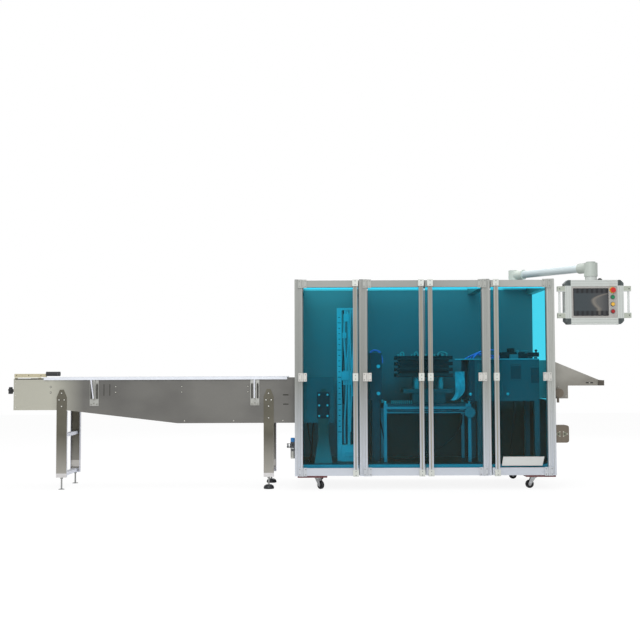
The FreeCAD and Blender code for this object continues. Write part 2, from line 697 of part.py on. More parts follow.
def caster_wheel(name):
    """A wheel with a proud hub and eased tread edges, on the piece's own Y axis."""
    half = "wheel_width / 2"
    bore = "axle_radius + running_fit"
    hub = f"{half} + wheel_play / 2"
    half_outline = [
        (bore, f"-({hub})"),
        ("wheel_hub", f"-({hub})"),
        ("wheel_hub", f"-{half} + wheel_play"),
        ("0.8 * wheel_radius", f"-{half}"),
        ("wheel_radius", f"-{half} + wheel_radius / 6"),
        ("wheel_radius", f"{half} - wheel_radius / 6"),
        ("0.8 * wheel_radius", half),
        ("wheel_hub", f"{half} - wheel_play"),
        ("wheel_hub", hub),
        (bore, hub),
    ]
    return turned(f"{name}_wheel", half_outline, ("-caster_trail", "0", "wheel_radius"), "y")


def casters():
    """Four swivel casters, each turned to its own trailing direction."""
    for name, across, along, turn in caster_spots():
        for part, piece in (("fork", caster_fork(name)), ("wheel", caster_wheel(name))):
            held = group(f"{name}_{part}_turned", [piece])
            held.Placement = FreeCAD.Placement(
                FreeCAD.Vector(), FreeCAD.Rotation(FreeCAD.Vector(0, 0, 1), number(turn)))
            bind(held, {"Placement.Rotation.Angle": turn})
            place(held, (across, along, "0"))
            node(f"caster_{part}_{name}", held)


# Doors: rails, a tinted pane, a handle profile and white plastic fittings

def door_plan():
    """Name, hinge line, side on which the leaf lies, and leaf width of each door."""
    side_leaf = "({bay} - 2 * door_gap)"
    middle_leaf = "(bay_middle / 2 - door_gap - leaf_gap / 2)"
    return [
        ("door_1", "post_width", 1, side_leaf.format(bay="bay_left")),
        ("door_2", f"({POST_LEFT[1]} + post_width)", 1, middle_leaf),
        ("door_3", POST_LEFT[2], -1, middle_leaf),
        ("door_4", POST_LEFT[3], -1, side_leaf.format(bay="bay_right")),
    ]


def span(hinge, side, near, far):
    """Low corner and length, along X, of what lies from near to far beyond the hinge line."""
    low = f"{hinge} + {near}" if side > 0 else f"{hinge} - ({far})"
    return low, f"({far}) - ({near})"


def hinge_heights():
    """Bottom, middle and top hinge."""
    return [
        ("low", "(door_bottom + bottom_rail / 2)"),
        ("middle", "hinge_middle"),
        ("high", "(door_top - top_rail / 2)"),
    ]


def hinge_mount(name, hinge, side, height):
    """The post's half of a hinge: a leaf, two barrels and the pin."""
    low = f"({height} - hinge_height / 2)"
    band = "((hinge_height - barrel_middle) / 2 - barrel_play)"
    leaf_x, leaf_length = span(hinge, -side, "door_gap", "hinge_half")
    web_x, web_length = span(hinge, -side, "0", "door_gap")
    pieces = [
        box(name + "_leaf", (leaf_x, "-hinge_leaf", low), (leaf_length, "hinge_leaf", "hinge_height")),
        rod(name + "_pin", (hinge, "-pin_out", low), "z", "pin_radius", "hinge_height"),
    ]
    for end, bottom in (("lower", low), ("upper", f"{height} + hinge_height / 2 - {band}")):
        pieces.append(box(f"{name}_web_{end}", (web_x, "-pin_out", bottom),
                          (web_length, "pin_out", band)))
        pieces.append(rod(f"{name}_barrel_{end}", (hinge, "-pin_out", bottom), "z",
                          "barrel_radius", band))
    return fuse(name, *pieces)


def hinge_leaf(name, hinge, side, height, backing):
    """The door's half of a hinge: a leaf and one bored barrel; backing reaches the pane."""
    low = f"({height} - hinge_height / 2)"
    barrel_low = f"({height} - barrel_middle / 2)"
    leaf_x, leaf_length = span(hinge, side, "door_gap", "hinge_half")
    web_x, web_length = span(hinge, side, "0", "door_gap")
    solid = fuse(
        name + "_solid",
        box(name + "_leaf", (leaf_x, "-hinge_leaf", low),
            (leaf_length, f"hinge_leaf + {backing}", "hinge_height")),
        box(name + "_web", (web_x, "-pin_out", barrel_low), (web_length, "pin_out", "barrel_middle")),
        rod(name + "_barrel", (hinge, "-pin_out", barrel_low), "z", "barrel_radius", "barrel_middle"),
    )
    bore = rod(name + "_bore", (hinge, "-pin_out", f"{barrel_low} - 1"), "z",
               "pin_radius + running_fit", "barrel_middle + 2")
    return cut(name, solid, bore)


def hinge_mounts():
    """Three hinge halves on the post beside each door."""
    halves = []
    for name, hinge, side, width in door_plan():
        for level, height in hinge_heights():
            halves.append(hinge_mount(f"{name}_mount_{level}", hinge, side, height))
    node("hinge_mounts", *halves)


def handle_profile(name, middle, low, height):
    """A channel with its open side to the front."""
    half = "handle_width / 2"
    channel = "handle_channel / 2"
    front = "-handle_depth"
    floor = "(handle_channel_depth - handle_depth)"
    corners = [
        (f"-{half}", "0"),
        (f"-{half}", front),
        (f"-{channel}", front),
        (f"-{channel}", floor),
        (channel, floor),
        (channel, front),
        (half, front),
        (half, "0"),
    ]
    return prism(name, "XY_Plane", corners, height, (middle, "0", low))


def door(name, hinge, side, width):
    """One leaf: two rails with the handle profile, the pane, and the fittings."""
    leaf_x, leaf_length = span(hinge, side, "door_gap", f"door_gap + {width}")
    hand = "left" if side > 0 else "right"
    inset = f"door_gap + {width} - handle_inset_{hand}"
    middle = f"({hinge} + {inset})" if side > 0 else f"({hinge} - ({inset}))"
    clip_low = "(hinge_middle - clip_height / 2)"
    caps = [
        ("lower", "(door_bottom - cap_over)"),
        ("upper", "(door_top + cap_over - cap_height)"),
    ]
    low_rail = box(name + "_low_rail", (leaf_x, "0", "door_bottom"),
                   (leaf_length, "rail_depth", "bottom_rail"))
    high_rail = box(name + "_high_rail", (leaf_x, "0", "door_top - top_rail"),
                    (leaf_length, "rail_depth", "top_rail"))
    low_start = "(door_bottom - cap_over + cap_height)"
    high_start = f"({clip_low} + clip_height)"
    low_handle = handle_profile(name + "_low_handle", middle, low_start, f"{clip_low} - {low_start}")
    high_handle = handle_profile(name + "_high_handle", middle, high_start,
                                 f"{caps[1][1]} - {high_start}")
    node(name + "_frame", fuse(name + "_low_frame", low_rail, low_handle),
         fuse(name + "_high_frame", high_rail, high_handle))

    pane_low = "(door_bottom + bottom_rail)"
    node(name + "_pane", box(name + "_sheet", (leaf_x, "pane_seat", pane_low),
                             (leaf_length, "pane_thickness", f"door_top - top_rail - {pane_low}")))

    fittings = [box(name + "_clip", (f"{middle} - clip_width / 2", "-cap_depth", clip_low),
                    ("clip_width", "cap_depth + pane_seat", "clip_height"))]
    for end, low in caps:
        fittings.append(box(f"{name}_cap_{end}", (f"{middle} - cap_width / 2", "-cap_depth", low),
                            ("cap_width", "cap_depth", "cap_height")))
    for level, height in hinge_heights():
        backing = "pane_seat" if level == "middle" else "0"
        fittings.append(hinge_leaf(f"{name}_hinge_{level}", hinge, side, height, backing))
    node(name + "_fittings", *fittings)


def doors():
    """Four doors, each pinned to its own post."""
    for name, hinge, side, width in door_plan():
        door(name, hinge, side, width)


# Infeed conveyor: side plates on legs, a belt on two drums, guide rails and a hold-down bar

def conveyor_sides():
    """Two side plates joined by end plates, the slider bed, tie rods and the knob's boss."""
    edge = [
        ("0", "nose_bottom"),
        ("slope_start", "nose_bottom"),
        ("slope_end", "belly_bottom"),
        ("conveyor_length", "belly_bottom"),
        ("conveyor_length", "side_top"),
        ("0", "side_top"),
    ]
    slot_left = "conveyor_length - conveyor_inside - slot_from_cabin"
    slots = [rectangle(slot_left, level, "slot_length", "slot_height")
             for level in ("upper_slot", "lower_slot")]
    inner_front = "(conveyor_front + side_sheet)"
    inner_width = "(conveyor_width - 2 * side_sheet)"
    plate_top = "(side_top - end_plate_drop)"
    bed_inset = "(drum_inset + 1.5 * drum_radius)"
    bed_low = "side_top - bed_drop - belt_thickness - bed_thickness"
    right_end = "conveyor_inside - side_sheet"
    pieces = [
        prism("side_front", "XZ_Plane", edge, "side_sheet",
              (CONVEYOR_LEFT, "conveyor_front", "0"), windows=slots),
        prism("side_rear", "XZ_Plane", edge, "side_sheet",
              (CONVEYOR_LEFT, f"{CONVEYOR_REAR} - side_sheet", "0"), windows=slots),
        box("left_end_plate", (CONVEYOR_LEFT, inner_front, "nose_bottom"),
            ("side_sheet", inner_width, f"{plate_top} - nose_bottom")),
        box("right_end_plate", (right_end, inner_front, "belly_bottom"),
            ("side_sheet", inner_width, f"{plate_top} - belly_bottom")),
        box("slider_bed", (f"{CONVEYOR_LEFT} + {bed_inset}", inner_front, bed_low),
            (f"conveyor_length - 2 * {bed_inset}", inner_width, "bed_thickness")),
        rod("knob_boss", (CONVEYOR_LEFT, KNOB_MIDDLE, "knob_height"), "x",
            "boss_radius", "boss_length"),
    ]
    for index in range(3):
        across = f"{CONVEYOR_LEFT} + first_tie + {index} * tie_pitch"
        pieces.append(rod(f"tie_rod_{index + 1}", (across, inner_front, "cross_tie_height"), "y",
                          "cross_tie_radius", inner_width))
    bore = rod("knob_bore", (f"{CONVEYOR_LEFT} - 1", KNOB_MIDDLE, "knob_height"), "x",
               "knob_stud + running_fit", "boss_length + 2")
    node("conveyor_sides", cut("conveyor_body", fuse("conveyor_weld", *pieces), bore))


def stadium(name, radius, front, width):
    """A long block with two round ends about the drum axes."""
    axis_z = "(side_top - bed_drop - belt_thickness - drum_radius)"
    left = f"({CONVEYOR_LEFT} + drum_inset)"
    length = "(conveyor_length - 2 * drum_inset)"
    return fuse(
        name,
        box(name + "_run", (left, front, f"{axis_z} - ({radius})"), (length, width, f"2 * ({radius})")),
        rod(name + "_left", (left, front, axis_z), "y", radius, width),
        rod(name + "_right", (f"{left} + {length}", front, axis_z), "y", radius, width),
    )


def conveyor_belt():
    """The belt is one closed loop round both drums."""
    front = "(conveyor_front + side_sheet + belt_margin)"
    width = "(conveyor_width - 2 * side_sheet - 2 * belt_margin)"
    outer = stadium("belt_outer", "drum_radius + belt_thickness", front, width)
    inner = stadium("belt_inner", "drum_radius", f"{front} - 1", f"{width} + 2")
    node("conveyor_belt", cut("belt_loop", outer, inner))


def conveyor_drums():
    """Two drums on shafts that end in the side plates."""
    axis_z = "(side_top - bed_drop - belt_thickness - drum_radius)"
    inner_front = "(conveyor_front + side_sheet)"
    inner_width = "(conveyor_width - 2 * side_sheet)"
    drums = []
    for end, across in (("left", f"{CONVEYOR_LEFT} + drum_inset"),
                        ("right", "conveyor_inside - drum_inset")):
        shaft = rod(f"drum_shaft_{end}", (across, inner_front, axis_z), "y", "drum_shaft", inner_width)
        drum = rod(f"drum_{end}", (across, f"{inner_front} + belt_margin", axis_z), "y",
                   "drum_radius", f"{inner_width} - 2 * belt_margin")
        drums.append(fuse(f"drum_with_shaft_{end}", drum, shaft))
    node("conveyor_drums", *drums)


def sides():
    """Name, face of the side plate, outward direction and the rail's middle line."""
    out = "(bracket_sheet + rod_radius)"
    return [
        ("front", "conveyor_front", -1, f"(conveyor_front - {out})"),
        ("rear", CONVEYOR_REAR, 1, f"({CONVEYOR_REAR} + {out})"),
    ]


def guide_rails():
    """A bar along each side, in front of the side plate's top edge."""
    length = "conveyor_length - conveyor_inside - rail_left - rail_right"
    rails = []
    for side, face, outward, middle in sides():
        rails.append(box(f"rail_{side}", (f"{CONVEYOR_LEFT} + rail_left",
                                          f"{middle} - rail_thickness / 2", "rail_bottom"),
                         (length, "rail_thickness", "rail_height")))
    node("guide_rails", *rails)


def guide_brackets():
    """Slotted brackets on the side plates, each with the rod that carries its rail."""
    slot_low = "bracket_slot_top - bracket_slot_length"
    windows = [rectangle(f"{shift} - bracket_slot / 2", slot_low, "bracket_slot",
                         "bracket_slot_length")
               for shift in ("-bracket_slot_out", "bracket_slot_out")]
    edge = rectangle("-bracket_width / 2", "bracket_bottom", "bracket_width",
                     "bracket_top - bracket_bottom")
    brackets = []
    for side, face, outward, middle in sides():
        low_y = f"{face} - bracket_sheet" if outward < 0 else face
        for place_name, across in (("outer", f"{CONVEYOR_LEFT} + bracket_first"),
                                   ("inner", "-bracket_second")):
            name = f"bracket_{side}_{place_name}"
            plate = prism(name, "XZ_Plane", edge, "bracket_sheet", (across, low_y, "0"),
                          windows=windows)
            carrier = rod(name + "_rod", (across, middle, "rod_bottom"), "z", "rod_radius",
                          "rail_bottom - rod_bottom")
            brackets.extend([plate, carrier])
    node("guide_brackets", *brackets)


def leg_frame(name, across, plate_bottom, tie_low, foot_low, outlines):
    """Two channel legs with pointed tops, joined by an upper and a lower cross tie."""
    half = "leg_width / 2"
    flange_top = f"({plate_bottom} - 2 * leg_sheet)"
    pieces = []
    for side, face, outward, middle in sides():
        low_y = f"{face} - leg_sheet" if outward < 0 else face
        flange_y = face if outward < 0 else f"{face} - leg_depth"
        pieces.append(prism(f"{name}_{side}_web", "XZ_Plane", outlines, "leg_sheet",
                            (across, low_y, "0")))
        for edge, shift in (("left", f"-{half}"), ("right", f"{half} - leg_sheet")):
            pieces.append(box(f"{name}_{side}_{edge}", (f"{across} + {shift}", flange_y, foot_low),
                              ("leg_sheet", "leg_depth", f"{flange_top} - {foot_low}")))
        pieces.append(box(f"{name}_{side}_foot", (f"{across} - {half}", flange_y, foot_low),
                          ("leg_width", "leg_depth", "foot_plate")))
    for level, low in (("upper", tie_low), ("lower", f"{foot_low} + foot_plate")):
        pieces.append(box(f"{name}_tie_{level}",
                          (f"{across} - leg_tie_width / 2", "conveyor_front", low),
                          ("leg_tie_width", "conveyor_width", "leg_tie_height")))
    return fuse(name, *pieces)


def leg_outline(foot_low):
    """A leg's web, straight up to the shoulders and pointed to a narrow flat."""
    half = "leg_width / 2"
    tip = "leg_tip_width / 2"
    return [
        (f"-{half}", foot_low),
        (half, foot_low),
        (half, "leg_shoulder"),
        (tip, "leg_tip"),
        (f"-{tip}", "leg_tip"),
        (f"-{half}", "leg_shoulder"),
    ]


def conveyor_legs():
    """Two leg frames outside the cabin, and one on the deck with flared feet."""
    first = leg_frame("first_legs", f"({CONVEYOR_LEFT} + first_leg)", "nose_bottom",
                      "leg_tie_bottom", "leg_bottom", leg_outline("leg_bottom"))
    second = leg_frame("second_legs", "(-second_leg)", "belly_bottom",
                       "belly_bottom - 2 * leg_tie_height", "leg_bottom",
                       leg_outline("leg_bottom"))
    node("conveyor_legs", first, second)
    flared = [
        ("-inner_foot_width / 2", DECK_TOP),
        ("inner_foot_width / 2", DECK_TOP),
        ("inner_leg_width / 2", f"{DECK_TOP} + flare_height"),
        ("inner_leg_width / 2", "leg_shoulder"),
        ("leg_tip_width / 2", "leg_tip"),
        ("-leg_tip_width / 2", "leg_tip"),
        ("-inner_leg_width / 2", "leg_shoulder"),
        ("-inner_leg_width / 2", f"{DECK_TOP} + flare_height"),
    ]
    inner = leg_frame("inner_leg_weld", "inner_leg", "belly_bottom",
                      "belly_bottom - 2 * leg_tie_height", DECK_TOP, flared)
    node("inner_legs", inner)


def levelling_feet():
    """Threaded stems with nuts: steel discs under the first legs, rubber domes under the second."""
    nut_low = "leg_bottom - nut_height"
    stem = [
        ("stem_radius", nut_low),
        ("nut_radius", nut_low),
        ("nut_radius", "leg_bottom"),
        ("0", "leg_bottom"),
    ]
    disc = [
        ("0", "0"),
        ("disc_radius", "0"),
        ("disc_radius", "disc_height / 2"),
        ("stem_radius + 3", "disc_height"),
        ("stem_radius", "disc_height"),
    ]
    dome = [
        ("0", "0"),
        ("0.94 * dome_radius", "0"),
        ("dome_radius", "0.12 * dome_height"),
        ("dome_radius", "0.35 * dome_height"),
        ("0.85 * dome_radius", "0.7 * dome_height"),
        ("0.5 * dome_radius", "0.94 * dome_height"),
        ("stem_radius + 3", "dome_height"),
        ("stem_radius", "dome_height"),
    ]
    feet = []
    for side, along in (("front", "conveyor_front + leg_depth / 2"),
                        ("rear", f"{CONVEYOR_REAR} - leg_depth / 2")):
        feet.append(turned(f"disc_foot_{side}", disc + stem,
                           (f"{CONVEYOR_LEFT} + first_leg", along, "0")))
        feet.append(turned(f"dome_foot_{side}", dome + stem, ("-second_leg", along, "0")))
    node("levelling_feet", *feet)


def hold_down_bar():
    """A bar on two feet over the front side plate, with a black grip on its right end."""
    left = f"({CONVEYOR_LEFT} + bar_left)"
    middle = "(conveyor_front + side_sheet / 2)"
    pieces = [box("bar", (left, f"{middle} - bar_width / 2", "bar_bottom"),
                  ("bar_length", "bar_width", "bar_height"))]
    for end, across in (("left", left), ("right", f"{left} + bar_length - 3 * bar_foot")):
        pieces.append(box(f"bar_foot_{end}", (across, f"{middle} - bar_foot / 4", "side_top"),
                          ("bar_foot", "bar_foot / 2", "bar_bottom - side_top")))
    node("hold_down_bar", fuse("bar_with_feet", *pieces))
    node("bar_grip", rod("grip", (f"{left} + bar_length", middle, "grip_axis"), "x",
                         "grip_radius", "grip_length"))


def tension_knob():
    """A five-lobed knob on a stud that runs in the left end plate's boss."""
    tip = f"({CONVEYOR_LEFT} - knob_reach)"
    pieces = [
        rod("knob_hub_disc", (tip, KNOB_MIDDLE, "knob_height"), "x", "knob_hub", "knob_thick"),
        rod("knob_neck", (tip, KNOB_MIDDLE, "knob_height"), "x", "knob_hub / 2",
            "knob_reach - 1"),
        rod("knob_thread", (tip, KNOB_MIDDLE, "knob_height"), "x", "knob_stud",
            "knob_reach + stud_length"),
    ]
    for index in range(5):
        turn = 360 / 5 * index + 90
        lobe = "(knob_radius - knob_lobe)"
        pieces.append(rod(f"knob_lobe_{index + 1}",
                          (tip, f"{KNOB_MIDDLE} + {lobe} * cos({turn})",
                           f"knob_height + {lobe} * sin({turn})"), "x", "knob_lobe", "knob_thick"))
    node("tension_knob", fuse("knob_moulding", *pieces))


def air_regulator():
    """Body with a filter bowl, a gauge and a front port, beside the left post."""
    low_x = "(-regulator_x - regulator_body / 2)"
    low_y = "(regulator_y - regulator_body / 2)"
    middle_z = "(body_bottom + body_top) / 2"
    dial_z = "(body_bottom + body_top) / 2 - dial_drop"
    body = fuse(
        "regulator_solid",
        box("regulator_block", (low_x, low_y, "body_bottom"),
            ("regulator_body", "regulator_body", "body_top - body_bottom")),
        rod("regulator_bowl", ("-regulator_x", "regulator_y", "bowl_bottom"), "z", "bowl_radius",
            "body_bottom - bowl_bottom"),
        rod("regulator_dial", (f"{low_x} - dial_length", "regulator_y", dial_z), "x",
            "dial_radius", "dial_length"),
    )
    port = rod("air_port", ("-regulator_x", f"{low_y} - 1", middle_z), "y", "port_radius",
               "port_depth + 1")
    node("air_regulator", cut("regulator_casting", body, port))
    node("regulator_knob", rod("regulator_cap", ("-regulator_x", "regulator_y", "body_top"), "z",
                               "cap_radius", "cap_top - body_top"))


# Inside the cabin: film stand, table, pull unit, press and seal housing

def film_stand():
    """A column and a rod joined by a clamp block and a top bar; the rod stands on a box."""
    half = "column_width / 2"
    column_left = f"(column_x - {half})"
    solid = fuse(
        "film_stand_weld",
        box("stand_column", (column_left, f"stand_y - {half}", DECK_TOP),
            ("column_width", "column_width", f"column_top - {DECK_TOP}")),
        box("stand_bar", (column_left, f"stand_y - {half}", "column_top"),
            (f"stand_bar_end - {column_left}", "column_width", "stand_bar_height")),
        box("stand_drive", ("stand_box_left", "stand_y - stand_box_depth / 2", DECK_TOP),
            ("stand_box_length", "stand_box_depth", f"stand_box_top - {DECK_TOP}")),
        box("stand_clamp", ("column_x", f"stand_y - {half}", "clamp_bottom"),
            ("stand_rod_x + 2 * stand_rod_radius - column_x", "column_width", "clamp_height")),
        rod("stand_rod", ("stand_rod_x", "stand_y", "stand_box_top"), "z", "stand_rod_radius",
            "column_top - stand_box_top"),
    )
    node("film_stand", solid)


def table_frame():
    """Four legs, a ring of beams, lower bars and the plate that the press stands on."""
    rear = "(table_front + table_depth - table_leg)"
    right = "(table_right - table_leg)"
    length = "(table_right - table_left)"
    beam_low = "(table_top - table_beam)"
    pieces = [box("table_plate_sheet", ("table_left", "table_front", "table_top"),
                  (length, "table_depth", "table_plate"))]
    for side, low_y in (("front", "table_front"), ("rear", rear)):
        for end, low_x in (("left", "table_left"), ("right", right)):
            pieces.append(box(f"table_leg_{side}_{end}", (low_x, low_y, DECK_TOP),
                              ("table_leg", "table_leg", f"{beam_low} - {DECK_TOP}")))
        pieces.append(box(f"table_beam_{side}", ("table_left", low_y, beam_low),
                          (length, "table_leg", "table_beam")))
        pieces.append(box(f"table_bar_{side}", ("table_left", low_y,
                                                "lower_bar_top - lower_bar_height"),
                          (length, "table_leg / 2", "lower_bar_height")))
    for end, low_x in (("left", "table_left"), ("right", right)):
        pieces.append(box(f"table_side_{end}", (low_x, "table_front", beam_low),
                          ("table_leg", "table_depth", "table_beam")))
    node("table_frame", fuse("table_weld", *pieces))


def press_stack():
    """A base block and plate, four columns, and four plates over a core, tied by rods."""
    middle_y = "(press_front + press_depth / 2)"
    foot_low = "(table_top + table_plate)"
    plate_top = "(press_foot_top + press_plate)"
    stack_low = f"({plate_top} + press_column_height)"
    pitch = "(press_stack_plate + press_stack_gap)"
    pieces = [
        box("press_foot", ("press_foot_left", "press_front + press_shoulder / 2", foot_low),
            ("press_foot_length", "press_depth - press_shoulder", f"press_foot_top - {foot_low}")),
        box("press_lower_plate", ("press_middle - press_lower_length / 2", "press_front", "press_foot_top"),
            ("press_lower_length", "press_depth", "press_plate")),
        box("press_core", ("press_left + press_stack_plate", "press_front + press_stack_plate",
                           stack_low),
            ("press_length - 2 * press_stack_plate", "press_depth - 2 * press_stack_plate",
             f"3 * {pitch} + press_stack_plate")),
    ]
    for column, (across, along) in enumerate(((-1, -1), (1, -1), (1, 1), (-1, 1)), start=1):
        spot = (f"press_middle + {across} * press_column_out",
                f"{middle_y} + {along} * press_column_deep")
        pieces.append(rod(f"press_column_{column}", (*spot, plate_top), "z",
                          "press_column_radius", "press_column_height"))
        pieces.append(rod(f"press_spacer_{column}", (*spot, stack_low), "z",
                          "press_spacer_radius", f"3 * {pitch} + press_stack_plate + 8"))
    for level in range(4):
        pieces.append(box(f"press_plate_{level + 1}",
                          ("press_left", "press_front", f"{stack_low} + {level} * {pitch}"),
                          ("press_length", "press_depth", "press_stack_plate")))
    node("press_stack", fuse("press_assembly", *pieces))


def pull_unit():
    """An upright head on a narrower foot, with two round knobs on its front."""
    pieces = [
        box("pull_head", ("pull_left", "pull_front", "pull_bottom"),
            ("pull_length", "pull_depth", "pull_top - pull_bottom")),
        box("pull_stand", ("pull_left + pull_foot", "pull_front + pull_foot", DECK_TOP),
            ("pull_length - 2 * pull_foot", "pull_depth - 2 * pull_foot",
             f"pull_bottom - {DECK_TOP}")),
    ]
    for level in ("pull_knob_low", "pull_knob_high"):
        pieces.append(rod(level + "_disc", ("pull_left + 0.7 * pull_length",
                                            "pull_front - pull_knob_length", level), "y",
                          "pull_knob_radius", "pull_knob_length"))
    node("pull_unit", fuse("pull_assembly", *pieces))


def sprocket():
    """A toothed drive wheel on a short shaft from the table's right front leg."""
    teeth = 18
    across = "(table_right - table_leg / 2)"
    front = "(table_front - sprocket_out)"
    corners = []
    for index in range(2 * teeth):
        reach = "sprocket_radius" if index % 2 == 0 else "0.86 * sprocket_radius"
        for edge in (-0.28, 0.28):
            turn = 180 / teeth * (index + edge)
            corners.append((f"{reach} * cos({turn})", f"{reach} * sin({turn})"))
    wheel = prism("sprocket_wheel", "XZ_Plane", corners, "sprocket_thick",
                  (across, front, "wheel_z"))
    shaft = rod("sprocket_shaft", (across, f"{front} - sprocket_thick", "wheel_z"), "y",
                "axle_radius * 2", "sprocket_out + sprocket_thick")
    node("drive_sprocket", fuse("sprocket_with_shaft", wheel, shaft))


def seal_housing():
    """A tunnel-shaped housing on four legs, open towards the press and the chute."""
    legs = []
    for side, low_y in (("front", "seal_front"), ("rear", "seal_front + seal_depth - seal_leg")):
        for end, low_x in (("left", "seal_left + seal_leg_inset"),
                           ("right", "seal_left + seal_length - seal_leg")):
            legs.append(box(f"seal_leg_{side}_{end}", (low_x, low_y, DECK_TOP),
                            ("seal_leg", "seal_leg", f"seal_bottom - {DECK_TOP}")))
    wall = [("seal_front", "seal_bottom"), ("seal_front + seal_depth", "seal_bottom"),
            ("seal_front + seal_depth", "seal_top"), ("seal_front", "seal_top")]
    tunnel = rectangle("seal_front + seal_wall", "seal_bottom + seal_wall",
                       "seal_depth - 2 * seal_wall", "seal_top - seal_bottom - 2 * seal_wall")
    shell = prism("seal_shell", "YZ_Plane", wall, "seal_length", ("seal_left", "0", "0"),
                  windows=[tunnel])
    node("seal_housing", fuse("seal_weld", shell, *legs))


def seal_head():
    """The heater block on top of the housing, with its cover and two cylinders."""
    front = "(seal_front + seal_depth / 6)"
    depth = "(2 * seal_depth / 3)"
    top = "(seal_top + head_height)"
    pieces = [
        box("head_block", ("head_left", front, "seal_top"), ("head_length", depth, "head_height")),
        box("head_cover", ("head_left + head_height / 2", f"{front} + head_height / 2", top),
            ("head_length - head_height", f"{depth} - head_height", "head_height / 4")),
    ]
    for side, share in (("front", 0.3), ("rear", 0.7)):
        pieces.append(rod(f"head_cylinder_{side}",
                          ("head_left + head_length / 2", f"{front} + {share} * {depth}", top),
                          "z", "head_height / 2", "head_height"))
    node("seal_head", fuse("head_assembly", *pieces))


# Right end: outfeed chute, its motor and the socket box

def outfeed_chute():
    """Two side plates with a slide between them, held by the seal housing's right end."""
    start = f"(seal_left + seal_length - {CABIN_LENGTH})"
    edge = [
        (start, "chute_skirt"),
        ("skirt_right", "chute_skirt"),
        ("skirt_right", "chute_tip_bottom"),
        ("chute_right", "chute_tip_bottom"),
        ("chute_right", "chute_tip_bottom + tip_block_height"),
        ("chute_top_right", "chute_low"),
        ("0", "chute_high"),
        (start, "chute_high"),
    ]
    slot = rectangle("tip_slot_left", "(chute_tip_bottom + chute_low) / 2 - tip_slot_width / 2",
                     "tip_slot_length", "tip_slot_width")
    slide = [
        (start, "slide_high - chute_slide"),
        ("tip_slot_left + tip_slot_length", "slide_low - chute_slide"),
        ("tip_slot_left + tip_slot_length", "slide_low"),
        (start, "slide_high"),
    ]
    inner = "(chute_front + chute_sheet)"
    width = "(chute_width - 2 * chute_sheet)"
    pieces = [
        prism("chute_side_front", "XZ_Plane", edge, "chute_sheet",
              (CABIN_LENGTH, "chute_front", "0"), windows=[slot]),
        prism("chute_side_rear", "XZ_Plane", edge, "chute_sheet",
              (CABIN_LENGTH, "chute_front + chute_width - chute_sheet", "0"), windows=[slot]),
        prism("chute_slide_sheet", "XZ_Plane", slide, width, (CABIN_LENGTH, inner, "0")),
        rod("chute_tie", (f"{CABIN_LENGTH} + skirt_right / 2", inner,
                          "chute_skirt + 2 * tip_roller_radius"), "y", "cross_tie_radius", width),
    ]
    node("outfeed_chute", fuse("chute_weld", *pieces))
    roller_x = f"({CABIN_LENGTH} + chute_right - tip_block_height / 2)"
    roller_z = "(chute_tip_bottom + tip_block_height / 2)"
    block_x = f"({CABIN_LENGTH} + chute_right + tip_block_over - tip_block_length)"
    size = ("tip_block_length", "tip_block_depth", "tip_block_height")
    node("tip_roller",
         rod("roller_tube", (roller_x, inner, roller_z), "y", "tip_roller_radius", width),
         box("tip_block_front", (block_x, "chute_front - tip_block_depth", "chute_tip_bottom"), size),
         box("tip_block_rear", (block_x, "chute_front + chute_width", "chute_tip_bottom"), size))
    motor = fuse(
        "motor_with_box",
        rod("motor_case", (f"{CABIN_LENGTH} + motor_x", "chute_front - motor_depth", "motor_z"), "y",
            "motor_radius", "motor_depth"),
        box("motor_terminal_box", (f"{CABIN_LENGTH} + motor_box_left",
                                   "chute_front - 0.9 * motor_depth", "motor_box_bottom"),
            ("motor_box", "motor_box", "motor_z - motor_box_bottom")),
    )
    node("outfeed_motor", motor)
    low = "socket_bottom"
    high = "(socket_bottom + socket_height)"
    arc = [("1", "0"), ("0.5", "0.13"), ("0.13", "0.5"), ("0", "1")]
    outline_points = [("0", low)]
    outline_points += [(f"socket_out - {across} * socket_round", f"{low} + {up} * socket_round")
                       for across, up in arc]
    outline_points += [(f"socket_out - {across} * socket_round", f"{high} - {up} * socket_round")
                       for across, up in reversed(arc)]
    outline_points.append(("0", high))
    node("socket_box", prism("socket_case", "XZ_Plane", outline_points, "socket_depth",
                             (CABIN_LENGTH, "socket_y", "0")))


# Operator panel on a swinging arm

def arm_base():
    """A plate on the roof beams, a ring and the pin that the arm turns on."""
    right = CABIN_LENGTH
    rear = "(cabin_depth - post_width)"
    ring_top = "(frame_top + arm_plate + base_ring_height)"
    solid = fuse(
        "arm_base_weld",
        box("arm_plate_sheet", ("arm_plate_left", "arm_plate_front", "frame_top"),
            (f"{right} - arm_plate_left", f"{rear} - arm_plate_front", "arm_plate")),
        rod("base_ring", ("arm_x", "arm_y", "frame_top + arm_plate"), "z", "base_ring_radius",
            "base_ring_height"),
        rod("base_pin", ("arm_x", "arm_y", ring_top), "z", "swivel_pin", "swivel_pin_length"),
    )
    node("arm_base", solid)


def on_arm(name, items):
    """The pieces of the arm are made along +X from the base swivel, then turned into place."""
    held = group(name, items)
    held.Placement = FreeCAD.Placement(
        FreeCAD.Vector(), FreeCAD.Rotation(FreeCAD.Vector(0, 0, 1), number("arm_angle")))
    bind(held, {"Placement.Rotation.Angle": "arm_angle"})
    return place(held, ("arm_x", "arm_y", "0"))


